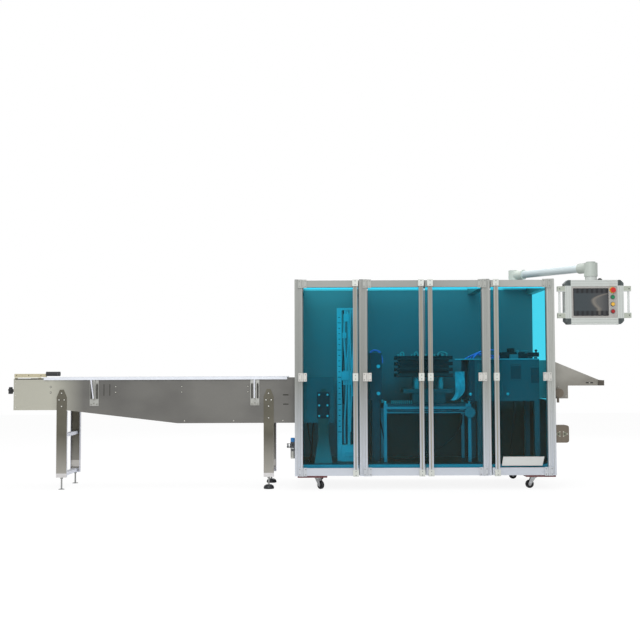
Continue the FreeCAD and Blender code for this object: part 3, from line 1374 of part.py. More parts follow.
def arm():
    """A knuckle and an elbow with sleeves, and the tube between the sleeves."""
    knuckle_low = "(frame_top + arm_plate + base_ring_height + swivel_gap)"
    bore_length = "(swivel_pin_length + 2 * swivel_gap)"
    knuckle = fuse(
        "knuckle_solid",
        rod("knuckle", ("0", "0", knuckle_low), "z", "knuckle_radius",
            f"{ARM_HEIGHT} + knuckle_over - {knuckle_low}"),
        rod("knuckle_sleeve", ("0", "0", ARM_HEIGHT), "x", "sleeve_radius", "sleeve_length"),
    )
    knuckle_bore = rod("knuckle_bore", ("0", "0", f"{knuckle_low} - swivel_gap"), "z",
                       "swivel_pin + running_fit", bore_length)
    elbow = fuse(
        "elbow_solid",
        rod("elbow", ("arm_length", "0", ELBOW_BOTTOM), "z", "elbow_radius",
            "elbow_under + elbow_over"),
        rod("elbow_crown_disc", ("arm_length", "0", f"{ARM_HEIGHT} + elbow_over"), "z",
            "elbow_radius * 0.7",
            "elbow_crown"),
        rod("elbow_sleeve", ("arm_length - sleeve_length", "0", ARM_HEIGHT), "x",
            "sleeve_radius", "sleeve_length"),
    )
    elbow_bore = rod("elbow_bore", ("arm_length", "0", f"{ELBOW_BOTTOM} - swivel_gap"), "z",
                     "swivel_pin + running_fit", bore_length)
    fittings = [cut("knuckle_bored", knuckle, knuckle_bore), cut("elbow_bored", elbow, elbow_bore)]
    tube = rod("tube", ("sleeve_length", "0", ARM_HEIGHT), "x", "arm_radius",
               "arm_length - 2 * sleeve_length")
    node("arm_fittings", on_arm("arm_fittings_turned", fittings))
    node("arm_tube", on_arm("arm_tube_turned", [tube]))


def on_panel(label, *items):
    """The panel's pieces are made about its swivel axis, then moved to the arm's end."""
    node(label, place(group(label + "_placed", items),
                      (f"{ARM_END_X} + panel_shift", ARM_END_Y, "0")))


def panel_case():
    """A frame notched for its corner pieces, a front face, a back plate and the swivel ring."""
    half = "panel_width / 2"
    low = "(panel_top - panel_height)"
    near = f"{low} + panel_corner"
    far = "panel_top - panel_corner"
    ring = [
        (f"-{half} + panel_corner", low),
        (f"{half} - panel_corner", low),
        (f"{half} - panel_corner", near),
        (half, near),
        (half, far),
        (f"{half} - panel_corner", far),
        (f"{half} - panel_corner", "panel_top"),
        (f"-{half} + panel_corner", "panel_top"),
        (f"-{half} + panel_corner", far),
        (f"-{half}", far),
        (f"-{half}", near),
        (f"-{half} + panel_corner", near),
    ]
    window = rectangle(f"-{half} + panel_rail", f"{low} + panel_rail",
                       "panel_width - 2 * panel_rail", "panel_height - 2 * panel_rail")
    inner = (f"-{half} + panel_rail", f"{low} + panel_rail")
    size = ("panel_width - 2 * panel_rail", "panel_wall", "panel_height - 2 * panel_rail")
    front = "(-panel_depth / 2)"
    ring_height = f"({ELBOW_BOTTOM} - swivel_gap - panel_top)"
    pieces = [
        prism("panel_ring", "XZ_Plane", ring, "panel_depth", ("0", front, "0"), windows=[window]),
        box("panel_face", (inner[0], f"{front} + panel_rebate", inner[1]), size),
        box("panel_back", (inner[0], "panel_depth / 2 - panel_rebate - panel_wall", inner[1]), size),
        rod("swivel_ring", ("-panel_shift", "0", "panel_top"), "z", "ring_radius", ring_height),
        rod("panel_pin", ("-panel_shift", "0", "panel_top"), "z", "swivel_pin",
            f"{ring_height} + swivel_pin_length"),
    ]
    on_panel("panel_case", fuse("panel_weld", *pieces))


def panel_corners():
    """Four dark corner pieces with an eased edge, as deep as the case."""
    corners = []
    for index, (across, up) in enumerate(((-1, -1), (1, -1), (1, 1), (-1, 1)), start=1):
        edge_x = f"({across} * panel_width / 2)"
        edge_z = "panel_top" if up > 0 else "(panel_top - panel_height)"
        eased = "0.55 * panel_corner"
        outline_points = [
            (f"{edge_x} - {across} * panel_corner", edge_z),
            (f"{edge_x} - {across} * {eased}", edge_z),
            (edge_x, f"{edge_z} - {up} * {eased}"),
            (edge_x, f"{edge_z} - {up} * panel_corner"),
            (f"{edge_x} - {across} * panel_corner", f"{edge_z} - {up} * panel_corner"),
        ]
        corners.append(prism(f"panel_corner_{index}", "XZ_Plane", outline_points, "panel_depth",
                             ("0", "-panel_depth / 2", "0")))
    on_panel("panel_corners", *corners)


def panel_front():
    """Screen bezel, three buttons and an emergency stop on the panel's face."""
    face = "(panel_rebate - panel_depth / 2)"
    bezel_low = "(panel_top - panel_height / 2 - bezel_height / 2)"
    left = "(-panel_width / 2 + bezel_left)"
    blank = box("bezel_blank", (left, f"{face} - bezel_depth", bezel_low),
                ("bezel_width", "bezel_depth", "bezel_height"))
    inset = "bezel_width / 14"
    glass = box("screen_recess", (f"{left} + {inset}", f"{face} - bezel_depth - 1",
                                  f"{bezel_low} + {inset}"),
                (f"bezel_width - 2 * {inset}", "1 + bezel_depth / 4",
                 f"bezel_height - 2 * {inset}"))
    on_panel("panel_screen", cut("bezel", blank, glass))
    stop_z = "(panel_top - stop_drop)"
    buttons = [fuse(
        "stop_button",
        rod("stop_collar", ("button_x", f"{face} - stop_depth / 3", stop_z), "y", "stop_base",
            "stop_depth / 3"),
        rod("stop_mushroom", ("button_x", f"{face} - stop_depth", stop_z), "y", "stop_radius",
            "stop_depth / 2"),
        rod("stop_stem", ("button_x", f"{face} - stop_depth", stop_z), "y", "stop_radius / 2",
            "stop_depth"),
    )]
    for index in range(3):
        height = f"panel_top - button_first - {index} * button_pitch"
        buttons.append(rod(f"push_button_{index + 1}",
                           ("button_x", f"{face} - button_depth", height), "y", "button_radius",
                           "button_depth"))
    on_panel("panel_buttons", *buttons)


def panel_handles():
    """A bar on two brackets at each side of the panel."""
    low = "(panel_top - panel_height / 2 - grip_bar_height / 2)"
    reach = "(grip_out + 2 * grip_bar_radius)"
    handles = []
    for side, sign in (("left", -1), ("right", 1)):
        axis_x = f"({sign} * (panel_width / 2 + grip_out))"
        bracket_x = "panel_width / 2" if sign > 0 else f"-panel_width / 2 - {reach}"
        pieces = [rod(f"grip_bar_{side}", (axis_x, "-grip_forward", low), "z", "grip_bar_radius",
                      "grip_bar_height")]
        for end, bottom in (("low", low), ("high", f"{low} + grip_bar_height - grip_bracket_height")):
            pieces.append(box(f"grip_bracket_{side}_{end}",
                              (bracket_x, "-grip_forward - grip_bracket_depth / 2", bottom),
                              (reach, "grip_bracket_depth", "grip_bracket_height")))
        handles.append(fuse(f"handle_{side}", *pieces))
    on_panel("panel_handles", *handles)


def build():
    """Every piece, in the order from the floor up."""
    caster_plates()
    casters()
    beam_grid("base_frame", "frame_bottom", "base_height")
    deck()
    frame_posts()
    beam_grid("roof_frame", "frame_top - post_width", "post_width")
    back_panels()
    end_panels()
    hinge_mounts()
    doors()
    conveyor_sides()
    conveyor_belt()
    conveyor_drums()
    guide_rails()
    guide_brackets()
    conveyor_legs()
    levelling_feet()
    hold_down_bar()
    tension_knob()
    air_regulator()
    film_stand()
    table_frame()
    press_stack()
    pull_unit()
    sprocket()
    seal_housing()
    seal_head()
    outfeed_chute()
    arm_base()
    arm()
    panel_case()
    panel_corners()
    panel_front()
    panel_handles()


def check():
    """Every object is up to date and every piece is a valid solid."""
    for item in doc.Objects:
        if {"Invalid", "Error"} & set(item.State):
            raise RuntimeError(f"{item.Name} did not recompute: {item.State}")
    for piece in nodes:
        if piece.Shape.isNull() or not piece.Shape.isValid() or not piece.Shape.Solids:
            raise RuntimeError(f"{piece.Label} is not a valid solid")


def centre():
    """Move every piece so that the origin is on the floor under the middle of the whole."""
    whole = FreeCAD.BoundBox()
    for piece in nodes:
        whole.add(piece.Shape.BoundBox)
    shift = FreeCAD.Vector(-whole.Center.x, -whole.Center.y, 0)
    for piece in nodes:
        piece.Placement.Base = shift
    doc.recompute()
    return whole, shift


def tell(name, shift, spot):
    """Print a joint or mount point in metres, in the finished frame."""
    point = [(number(text) + move) / 1000 for text, move in zip(spot, shift)]
    print("point", name, *(f"{value:.6f}" for value in point))


def main():
    build()
    doc.recompute()
    check()
    whole, shift = centre()
    check()
    os.makedirs("parts", exist_ok=True)
    for piece in nodes:
        piece.Shape.exportStep(f"parts/{piece.Label}.step")
    print("size", round(whole.XLength, 2), round(whole.YLength, 2), round(whole.ZLength, 2),
          "nodes", len(nodes), "solids", sum(len(piece.Shape.Solids) for piece in nodes))
    for name, hinge, side, width in door_plan():
        tell(name, shift, (hinge, "-pin_out", "hinge_middle"))
    for name, across, along, turn in caster_spots():
        tell(f"caster_{name}", shift, (across, along, "caster_height"))
        tell(f"wheel_{name}", shift, (f"{across} - caster_trail * cos({turn})",
                                      f"{along} - caster_trail * sin({turn})", "wheel_radius"))
    tell("arm", shift, ("arm_x", "arm_y", ARM_HEIGHT))
    tell("panel", shift, (ARM_END_X, ARM_END_Y, "panel_top"))
    tell("knob", shift, (CONVEYOR_LEFT, KNOB_MIDDLE, "knob_height"))
    tell("air_port", shift, ("-regulator_x", "regulator_y - regulator_body / 2",
                             "(body_bottom + body_top) / 2"))
    tell("foot", shift, (f"{CONVEYOR_LEFT} + first_leg", "conveyor_front + leg_depth / 2", "0"))
    tell("cabin", shift, ("0", "0", "0"))


main()
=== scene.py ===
"""Looks of a four-side seal packing machine, laid out as an add-on and run as a script.

Every length of a piece is in layout millimetres from the cabin's lower left front corner on
the floor, with X along the line, Y to the back and Z up. Surface.make() turns them into metres
in the part's frame; at_x() and at_y() do the same for the finishes, which work in the part's frame.
"""

from math import cos, pi, radians, sin

import bpy
import mathutils
import numpy as np
from bpy.props import FloatProperty, FloatVectorProperty, PointerProperty
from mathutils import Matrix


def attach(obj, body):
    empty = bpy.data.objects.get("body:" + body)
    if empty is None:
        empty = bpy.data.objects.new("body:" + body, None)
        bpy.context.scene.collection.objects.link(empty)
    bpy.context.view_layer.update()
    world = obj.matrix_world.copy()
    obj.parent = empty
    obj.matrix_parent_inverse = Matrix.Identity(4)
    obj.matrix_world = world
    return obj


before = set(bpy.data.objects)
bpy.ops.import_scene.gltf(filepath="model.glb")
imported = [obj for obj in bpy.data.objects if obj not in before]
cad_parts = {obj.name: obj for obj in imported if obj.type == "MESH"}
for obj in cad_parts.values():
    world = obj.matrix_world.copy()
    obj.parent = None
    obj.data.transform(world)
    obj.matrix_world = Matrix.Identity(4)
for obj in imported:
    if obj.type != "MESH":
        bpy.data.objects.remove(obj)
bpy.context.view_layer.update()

bl_info = {
    "name": "Four-side seal packing machine",
    "version": (1, 0, 0),
    "blender": (4, 5, 0),
    "location": "3D View > Sidebar > Packing machine",
    "description": "Finishes and small fittings for a packing machine's frame",
    "category": "Object",
}

FRONT, BACK, UP = (0, -1, 0), (0, 1, 0), (0, 0, 1)
CORNER = np.array([-0.172099, -0.416260, 0.0])
# Each door's hinge pin and handle along X, and the heights of the screws beside them.
DOORS = {"door_1": 60, "door_2": 552, "door_3": 1430, "door_4": 1922}
HANDLES = {"door_1": 462, "door_2": 963.5, "door_3": 1032.5, "door_4": 1534}
HINGE_SCREWS = [middle + rise for middle in (136, 852, 1564) for rise in (-20, 20)]
CLIP_SCREWS = [middle + rise for middle in (127, 852, 1570) for rise in (-14, 14)]
LEAF = 22  # from a hinge's pin to the screws of its leaves
POSTS = (30, 522, 1460, 1952)  # middles of the front posts along X
CASTERS = ("front_left", "front_right", "rear_left", "rear_right")
SIDES = ((103, FRONT), (587, BACK))  # the conveyor's side plates: their face and its way out
RAIL_SCREWS = [(x, z) for x in (-1880, -1380, -871, -363) for z in (785, 742)]
RAIL_BRACKETS = (-1544, -309)  # their middles along X
UNIT_FACE = 150  # front of the sealing unit
PANEL = (2276.7, -41.48, 1415.0)  # middle of the operator panel's front


def at_x(x):
    """The X of a layout place, in metres in the part's frame."""
    return x / 1000 + float(CORNER[0])


def at_y(y):
    """The Y of a layout place, in metres in the part's frame."""
    return y / 1000 + float(CORNER[1])


def tone(red, green, blue):
    """A screen colour, 0 to 255, as the linear numbers that shaders take (the sRGB curve)."""
    share = np.array([red, green, blue]) / 255
    linear = np.where(share <= 0.04045, share / 12.92, ((share + 0.055) / 1.055) ** 2.4)
    return tuple(float(v) for v in linear)


class Surface:
    """Closed skins in one mesh: stacks of rings, joined ring to ring and closed by poles."""

    def __init__(self):
        self.points = []
        self.faces = []
        self.count = 0

    def loft(self, rings):
        """Adds rings (k, n, 3): point j of ring i joins j + 1 and ring i + 1, and the middle
        of the first and of the last ring closes each end as a fan."""
        rings = np.asarray(rings, float)
        k, n, _ = rings.shape
        ends = np.stack([rings[0].mean(0), rings[-1].mean(0)])
        base = self.count
        i, j = np.meshgrid(np.arange(k - 1), np.arange(n), indexing="ij")
        turn = (j + 1) % n
        walls = np.stack([i * n + j, i * n + turn, (i + 1) * n + turn, (i + 1) * n + j], -1)
        around = np.arange(n)
        after = (around + 1) % n
        low = np.stack([after, around, np.full(n, k * n)], -1)
        high = np.stack([(k - 1) * n + around, (k - 1) * n + after, np.full(n, k * n + 1)], -1)
        self.points += [rings.reshape(-1, 3), ends]
        self.faces += [walls.reshape(-1, 4) + base, low + base, high + base]
        self.count += k * n + 2
        return self

    def make(self, name, finish, slot, body="machine", edge=35):
        """Makes the piece, in metres in the part's frame: a mesh object with a finish that
        rides on a body. Edges sharper than edge degrees stay sharp."""
        mesh = bpy.data.meshes.new(name)
        points = np.concatenate(self.points) / 1000 + CORNER
        sizes = np.concatenate([np.full(len(f), f.shape[1]) for f in self.faces])
        corners = np.concatenate([f.ravel() for f in self.faces]).astype(np.int32)
        mesh.vertices.add(len(points))
        mesh.vertices.foreach_set("co", points.astype(np.float32).ravel())
        mesh.loops.add(len(corners))
        mesh.loops.foreach_set("vertex_index", corners)
        mesh.polygons.add(len(sizes))
        starts = np.concatenate([[0], np.cumsum(sizes)[:-1]]).astype(np.int32)
        mesh.polygons.foreach_set("loop_start", starts)
        mesh.update(calc_edges=True)
        mesh.validate()
        mesh.shade_smooth()
        mesh.set_sharp_from_angle(angle=radians(edge))
        mesh.materials.append(finish.material)
        piece = placed(name, mesh)
        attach(piece, body)
        return piece


def placed(name, data):
    """An object with this data, linked to the scene."""
    thing = bpy.data.objects.new(name, data)
    bpy.context.scene.collection.objects.link(thing)
    return thing


def frame_of(axis):
    """Two directions across an axis, so that across, up and axis are a right-handed set."""
    axis = np.asarray(axis, float) / np.linalg.norm(axis)
    start = np.array([0, 0, 1.0]) if abs(axis[2]) < 0.9 else np.array([1.0, 0, 0])
    across = np.cross(start, axis)
    across /= np.linalg.norm(across)
    return across, np.cross(axis, across), axis


def turned(profile, start, axis, steps):
    """A profile of (radius, height) pairs, turned about an axis through start:
    point = start + radius * (cos t * across + sin t * up) + height * axis."""
    profile = np.asarray(profile, float)
    across, up, along = frame_of(axis)
    t = np.arange(steps) * 2 * pi / steps
    wheel = np.cos(t)[:, None] * across + np.sin(t)[:, None] * up
    return start + profile[:, :1, None] * wheel[None] + profile[:, 1:, None] * along


def rounded(width, height, radius, steps=5):
    """A rectangle's outline with rounded corners: in each corner's square the
    point is its centre plus radius * (cos t, sin t) over a quarter turn."""
    t = np.linspace(0, pi / 2, steps)
    arc = np.stack([np.cos(t), np.sin(t)], -1) * radius
    quarters = []
    for turn, (sx, sy) in enumerate(((1, 1), (-1, 1), (-1, -1), (1, -1))):
        c, s = cos(turn * pi / 2), sin(turn * pi / 2)
        centre = np.array([sx * (width / 2 - radius), sy * (height / 2 - radius)])
        quarters.append(arc @ np.array([[c, s], [-s, c]]) + centre)
    return np.concatenate(quarters)


def block(centre, size, axis=FRONT, radius=2.0, soft=1.0):
    """A slab with a rounded outline, size (width, height, depth), its depth
    along axis: four rings, the first and last drawn in by soft so that the rims are broken."""
    width, height, depth = size
    across, up, along = frame_of(axis)
    rings = []
    for inset, level in ((soft, 0), (0, soft), (0, depth - soft), (soft, depth)):
        r = max(radius - inset, 0.05)
        flat = rounded(width - 2 * inset, height - 2 * inset, r)
        rings.append(centre + flat[:, :1] * across + flat[:, 1:] * up + level * along)
    return np.array(rings)


def swept(points, radius, steps=12):
    """A round tube along a curve: each ring stands across the curve's own direction, turned
    step by step from the one before so that it never twists."""
    points = np.asarray(points, float)
    along = np.gradient(points, axis=0)
    along /= np.linalg.norm(along, axis=1, keepdims=True)
    across = frame_of(along[0])[0]
    t = np.arange(steps) * 2 * pi / steps
    rings = []
    for here, way in zip(points, along):
        across = across - way * (across @ way)
        across /= np.linalg.norm(across)
        up = np.cross(way, across)
        wheel = np.cos(t)[:, None] * across + np.sin(t)[:, None] * up
        rings.append(here + wheel * radius)
    return np.array(rings)


def flowing(*corners, steps=28):
    """A smooth curve that starts and ends on its first and last corner: the weights of each
    corner are the Bernstein polynomials of the curve's share t."""
    corners = np.array(corners)
    n = len(corners) - 1
    t = np.linspace(0, 1, steps)[:, None]
    choose = np.cumprod(np.concatenate([[1.0], (n - np.arange(n)) / (np.arange(n) + 1.0)]))
    k = np.arange(n + 1)
    return (choose * t**k * (1 - t) ** (n - k)) @ corners


def operator(operation, swapped=False):
    """A method of Value that makes a Math node from the value and another term."""

    def method(self, other):
        return self.math(operation, *((other, self) if swapped else (self, other)))

    return method


class Value:
    """A shader socket that Python's operators turn into Math nodes."""

    def __init__(self, finish, socket):
        self.finish = finish
        self.socket = socket

    def math(self, operation, *terms):
        return self.finish.add("ShaderNodeMath", {"operation": operation}, list(terms))

    def __abs__(self):
        return self.math("ABSOLUTE", self)

    __add__ = __radd__ = operator("ADD")
    __mul__ = __rmul__ = operator("MULTIPLY")
    __sub__, __rsub__ = operator("SUBTRACT"), operator("SUBTRACT", swapped=True)
    __gt__, __lt__ = operator("GREATER_THAN"), operator("LESS_THAN")


class Finish:
    """A material on one Principled shader; add() makes every node in it."""

    def __init__(self, name, color, roughness, metallic=0.0):
        self.material = bpy.data.materials.new(name)
        self.material.use_nodes = True
        self.tree = self.material.node_tree
        self.tree.nodes.clear()
        self.shader = self.tree.nodes.new("ShaderNodeBsdfPrincipled")
        self.output = self.tree.nodes.new("ShaderNodeOutputMaterial")
        self.tree.links.new(self.shader.outputs[0], self.output.inputs[0])
        self.material.diffuse_color = (*color[:3], 1)
        place = self.tree.nodes.new("ShaderNodeTexCoord")
        self.place = Value(self, place.outputs["Object"])
        split = self.tree.nodes.new("ShaderNodeSeparateXYZ")
        self.tree.links.new(place.outputs["Object"], split.inputs[0])
        self.x, self.y, self.z = (Value(self, socket) for socket in split.outputs)
        self.set(Base_Color=color, Roughness=roughness, Metallic=metallic)

    def feed(self, socket, value):
        """Links a Value, or writes a number or colour on the socket itself."""
        if isinstance(value, Value):
            self.tree.links.new(value.socket, socket)
        elif hasattr(value, "__len__") and len(value) == 3 and socket.type == "RGBA":
            socket.default_value = (*value, 1)
        else:
            socket.default_value = value

    def set(self, **inputs):
        """Feeds the Principled shader's sockets, named with _ for a space."""
        for name, value in inputs.items():
            self.feed(self.shader.inputs[name.replace("_", " ")], value)
        return self

    def fed(self, name):
        """What feeds one of the shader's sockets now."""
        return Value(self, self.shader.inputs[name].links[0].from_socket)

    def add(self, kind, settings, inputs, output=0):
        """Makes a node: its settings first, then its sockets by name or number, and gives
        back one of its outputs."""
        node = self.tree.nodes.new(kind)
        for name, value in settings.items():
            setattr(node, name, value)
        pairs = inputs.items() if isinstance(inputs, dict) else enumerate(inputs)
        for name, value in pairs:
            self.feed(node.inputs[name], value)
        return Value(self, node.outputs[output])

    def noise(self, size, scale=(1, 1, 1), detail=3.0, rough=0.5):
        """Smooth noise whose lumps are about size metres across, stretched by scale."""
        stretched = self.add("ShaderNodeMapping", {}, {"Vector": self.place, "Scale": scale})
        sockets = {"Vector": stretched, "Scale": 1 / size, "Detail": detail, "Roughness": rough}
        return self.add("ShaderNodeTexNoise", {"noise_dimensions": "3D"}, sockets)

    def span(self, value, low, high, start=0.0, end=1.0):
        """A value carried from low..high to start..end, held at both ends."""
        numbers = {"Value": value, 1: low, 2: high, 3: start, 4: end}
        return self.add("ShaderNodeMapRange", {"clamp": True}, numbers)

    def mix(self, share, first, second):
        """Colour first where share is 0 and second where it is 1."""
        return self.add("ShaderNodeMix", {"data_type": "RGBA"}, {0: share, 6: first, 7: second}, 2)

    def rough(self, value, low, high):
        """Roughness from low to high over a noise's usual range."""
        return self.set(Roughness=self.span(value, 0.3, 0.7, low, high))

    def recolour(self, share, color):
        """Changes the base colour to color where share is 1."""
        return self.set(Base_Color=self.mix(share, self.fed("Base Color"), color))

    def scaled(self, color, share):
        """A colour times a share."""
        return self.add("ShaderNodeVectorMath", {"operation": "SCALE"}, {0: color, "Scale": share})

    def tint(self, color, value, amount):
        """A colour made darker and lighter by amount round a value that runs 0 to 1."""
        return self.scaled(color[:3], (value - 0.5) * amount + 1)

    def blend(self, share, first, second):
        """Ends the material in a Mix Shader: first where share is 0 and second where it is 1."""
        mixed = self.add("ShaderNodeMixShader", {}, [share, first, second])
        self.feed(self.output.inputs[0], mixed)

    def bump(self, height, strength, distance):
        """Feeds a height to the shader's Normal through a Bump node."""
        sockets = {"Strength": strength, "Distance": distance, "Height": height}
        self.set(Normal=self.add("ShaderNodeBump", {}, sockets))
        return self


def stainless(name, light, dark, grain=(1, 40, 40), roughness=0.36):
    """Brushed sheet: fine streaks along one axis in the colour, roughness and bump, under
    wide soft clouds that carry the tone from light to dark."""
    f = Finish(name, light, roughness, 0.55)
    streaks = f.noise(0.02, grain, 4, 0.6)
    clouds = f.noise(0.42, (1, 1, 1.6), 2, 0.45)
    wide = f.mix(f.span(clouds, 0.36, 0.64), dark, light)
    fine = f.span(streaks, 0.3, 0.7, -0.07, 0.07) + 1
    f.set(Base_Color=f.scaled(wide, fine))
    f.rough(streaks, roughness - 0.07, roughness + 0.09)
    return f.bump(streaks, 0.08, 0.0004)


def painted(name, color, roughness=0.45, speckle=0.08, metallic=0.0):
    """Powder coat: a faint orange peel in the bump and a little drift in the tone."""
    f = Finish(name, color, roughness, metallic)
    drift = f.noise(0.3, detail=2)
    f.set(Base_Color=f.tint(color, drift, speckle))
    f.set(Roughness=f.span(drift, 0.35, 0.65, roughness - 0.05, roughness + 0.06))
    return f.bump(f.noise(0.004, detail=2), 0.12, 0.0004)


def moulded(name, color, roughness=0.5, grain=0.0015):
    """Moulded plastic: a fine leather-like grain and faint flow marks."""
    f = Finish(name, color, roughness)
    f.set(Base_Color=f.tint(color, f.noise(0.06, detail=3), 0.12))
    f.rough(f.noise(0.02), roughness - 0.06, roughness + 0.08)
    return f.bump(f.noise(grain, detail=3), 0.15, 0.0003)


def worn(name, color, metallic, grain, low, high):
    """Metal or gloss whose roughness runs from low to high over spots grain metres across."""
    f = Finish(name, color, low, metallic)
    return f.rough(f.noise(grain), low, high)


def drifting(name, color, roughness, amount, size, scale=(1, 1, 1)):
    """A plain finish whose tone drifts by amount over lumps about size metres across."""
    f = Finish(name, color, roughness)
    return f.set(Base_Color=f.tint(color, f.noise(size, scale), amount))


def aluminium(name, top, foot):
    """Anodised profile: faint drawing lines along its length, and a tone that cools and
    lightens towards the foot as a painted reflection of the pale floor, and lightens
    towards the far right as a painted highlight."""
    f = Finish(name, top, 0.4, 0.35)
    lines = f.noise(0.008, (30, 30, 0.6), 3)
    # Painted highlight: the tone is scaled from 0.9 on the left to 1.5 at the far right, as if lit
    # from the right.
    right = f.span(f.x, 0.9, 1.78, 0.9, 1.5)
    lit = f.scaled(top[:3], right)
    # Painted reflection of the pale floor: the foot colour low down, the lit top colour high up.
    tall = f.mix(f.span(f.z, 0.1, 0.8), foot, lit)
    fine = f.span(lines, 0.3, 0.7, -0.035, 0.035) + 1
    f.set(Base_Color=f.scaled(tall, fine))
    f.rough(lines, 0.34, 0.48)
    return f.bump(lines, 0.05, 0.0003)


def acrylic(name, tint):
    """Tinted clear sheet: a Transparent shader in the square root of the tint, so that light
    through both faces takes the whole tint, with a thin mirror gloss by Fresnel and a faint
    warm haze that is stronger towards the floor."""
    f = Finish(name, tone(130, 112, 84), 0.06)
    haze = f.span(f.z, 0.3, 1.2)
    f.set(Base_Color=f.mix(haze, tone(118, 96, 70), tone(76, 70, 58)))
    clear = f.add("ShaderNodeBsdfTransparent", {}, {"Color": tuple(v**0.5 for v in tint)})
    f.set(Roughness=f.span(f.noise(0.25, (1, 1, 0.4)), 0.35, 0.7, 0.04, 0.14))
    mirror = f.add("ShaderNodeFresnel", {}, {"IOR": 1.42}) * 0.8 + 0.05
    f.blend(mirror, clear, Value(f, f.shader.outputs[0]))
    return f


def colour(name, description, default):
    """A colour a user may change, kept linear as shaders take it."""
    return FloatVectorProperty(
        name=name, description=description, subtype="COLOR", size=3, min=0, max=1, default=default
    )


def length(name, description, default):
    """A small length in millimetres."""
    return FloatProperty(name=name, description=description, default=default, min=0.1, max=500)


class PackerColours(bpy.types.PropertyGroup):
    """Colours of the machine's finishes."""

    acrylic: colour("Acrylic tint", "Light that a door pane lets through", tone(76, 228, 255))
    sheet_light: colour("Sheet, light", "Brushed sheet where it is brightest", tone(117, 116, 112))
    sheet_dark: colour("Sheet, dark", "Brushed sheet where it is darkest", tone(103, 102, 99))
    profile: colour("Profile", "Anodised posts and door rails", tone(150, 152, 148))
    # Profile near the floor: a painted reflection of the pale floor, lighter and bluer.
    profile_floor_sheen: colour("Profile foot", "The same profile near the floor", tone(201, 206, 215))
    housing: colour("Housing", "Paint of the sealing and pulling units", tone(112, 114, 112))
    back: colour("Back sheets", "Paint of the cabin's back sheets", tone(131, 130, 133))
    panel: colour("Panel rails", "Operator panel's side rails", tone(193, 198, 194))
    belt: colour("Belt", "Conveyor belt's face", tone(206, 206, 198))


class PackerSizes(bpy.types.PropertyGroup):
    """Sizes of the small fittings that the finishes add."""

    bolt_head: length("Bolt head", "Width of a leg bolt's head", 13.0)
    screw_head: length("Screw head", "Width of a small screw's head", 8.0)
    air_hose: length("Air hose", "Diameter of the air lines", 10.0)


def dress(finish, *names):
    """Gives CAD nodes a finish by their material slots."""
    for name in names:
        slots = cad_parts[name].data.materials
        slots.clear()
        slots.append(finish.material)


class PackerPiece:
    """What the operators share: execute() takes the scene's settings and calls build()."""

    bl_options = {"REGISTER", "UNDO"}

    def execute(self, context):
        self.colours = context.scene.packer_colours
        self.sizes = context.scene.packer_sizes
        self.build()
        return {"FINISHED"}


class PACKER_OT_cabin(PackerPiece, bpy.types.Operator):
    """Finishes the cabin: profile, sheets, base, door frames, panes and fittings"""

    bl_idname = "packer.cabin"
    bl_label = "Cabin"

    def build(self):
        c = self.colours
        profile = aluminium("profile", c.profile, c.profile_floor_sheen)
        dress(profile, "frame_posts", "roof_frame", *(f"{door}_frame" for door in DOORS))
        dress(painted("base_paint", tone(206, 210, 212), 0.4), "base_frame")
        dress(painted("deck_paint", tone(92, 72, 66), 0.5), "deck")
        back = painted("back_paint", c.back, 0.4)
        # Painted shade and light on the back sheets' inner face: darker and browner towards the
        # floor, under the machinery, and lighter towards the left end.
        low = back.span(back.z, 0.56, 0.82)
        left = back.span(back.x, 0.45, 0.12)
        upper = back.mix(left, back.fed("Base Color"), tone(152, 152, 152))
        under = back.mix(left, tone(80, 58, 52), tone(150, 150, 156))
        # Only the inner face, between these two planes, gets the painted shade and light.
        inner = (back.y < at_y(778.5)) * (back.y > at_y(775.5))
        shaded = back.mix(low, under, upper)
        back.set(Base_Color=back.mix(inner, back.fed("Base Color"), shaded))
        dress(back, "back_panels", "end_panels")
        dress(acrylic("acrylic", c.acrylic), *(f"{door}_pane" for door in DOORS))
        fittings = [f"{door}_fittings" for door in DOORS]
        pale = moulded("pale_fittings", tone(166, 168, 163), 0.42)
        # Painted reflection of the pale floor: the fittings turn lighter and bluer towards the
        # foot.
        foot = pale.span(pale.z, 0.1, 0.8, 1, 0)
        grip = sum(abs(pale.x - at_x(middle)) < 0.026 for middle in HANDLES.values())
        waist = abs(pale.z - 0.852) < 0.045
        pale.recolour(foot, tone(194, 198, 204)).recolour(waist, tone(200, 199, 194))
        pale.recolour(grip, tone(206, 209, 203))
        dress(pale, "hinge_mounts", *fittings)


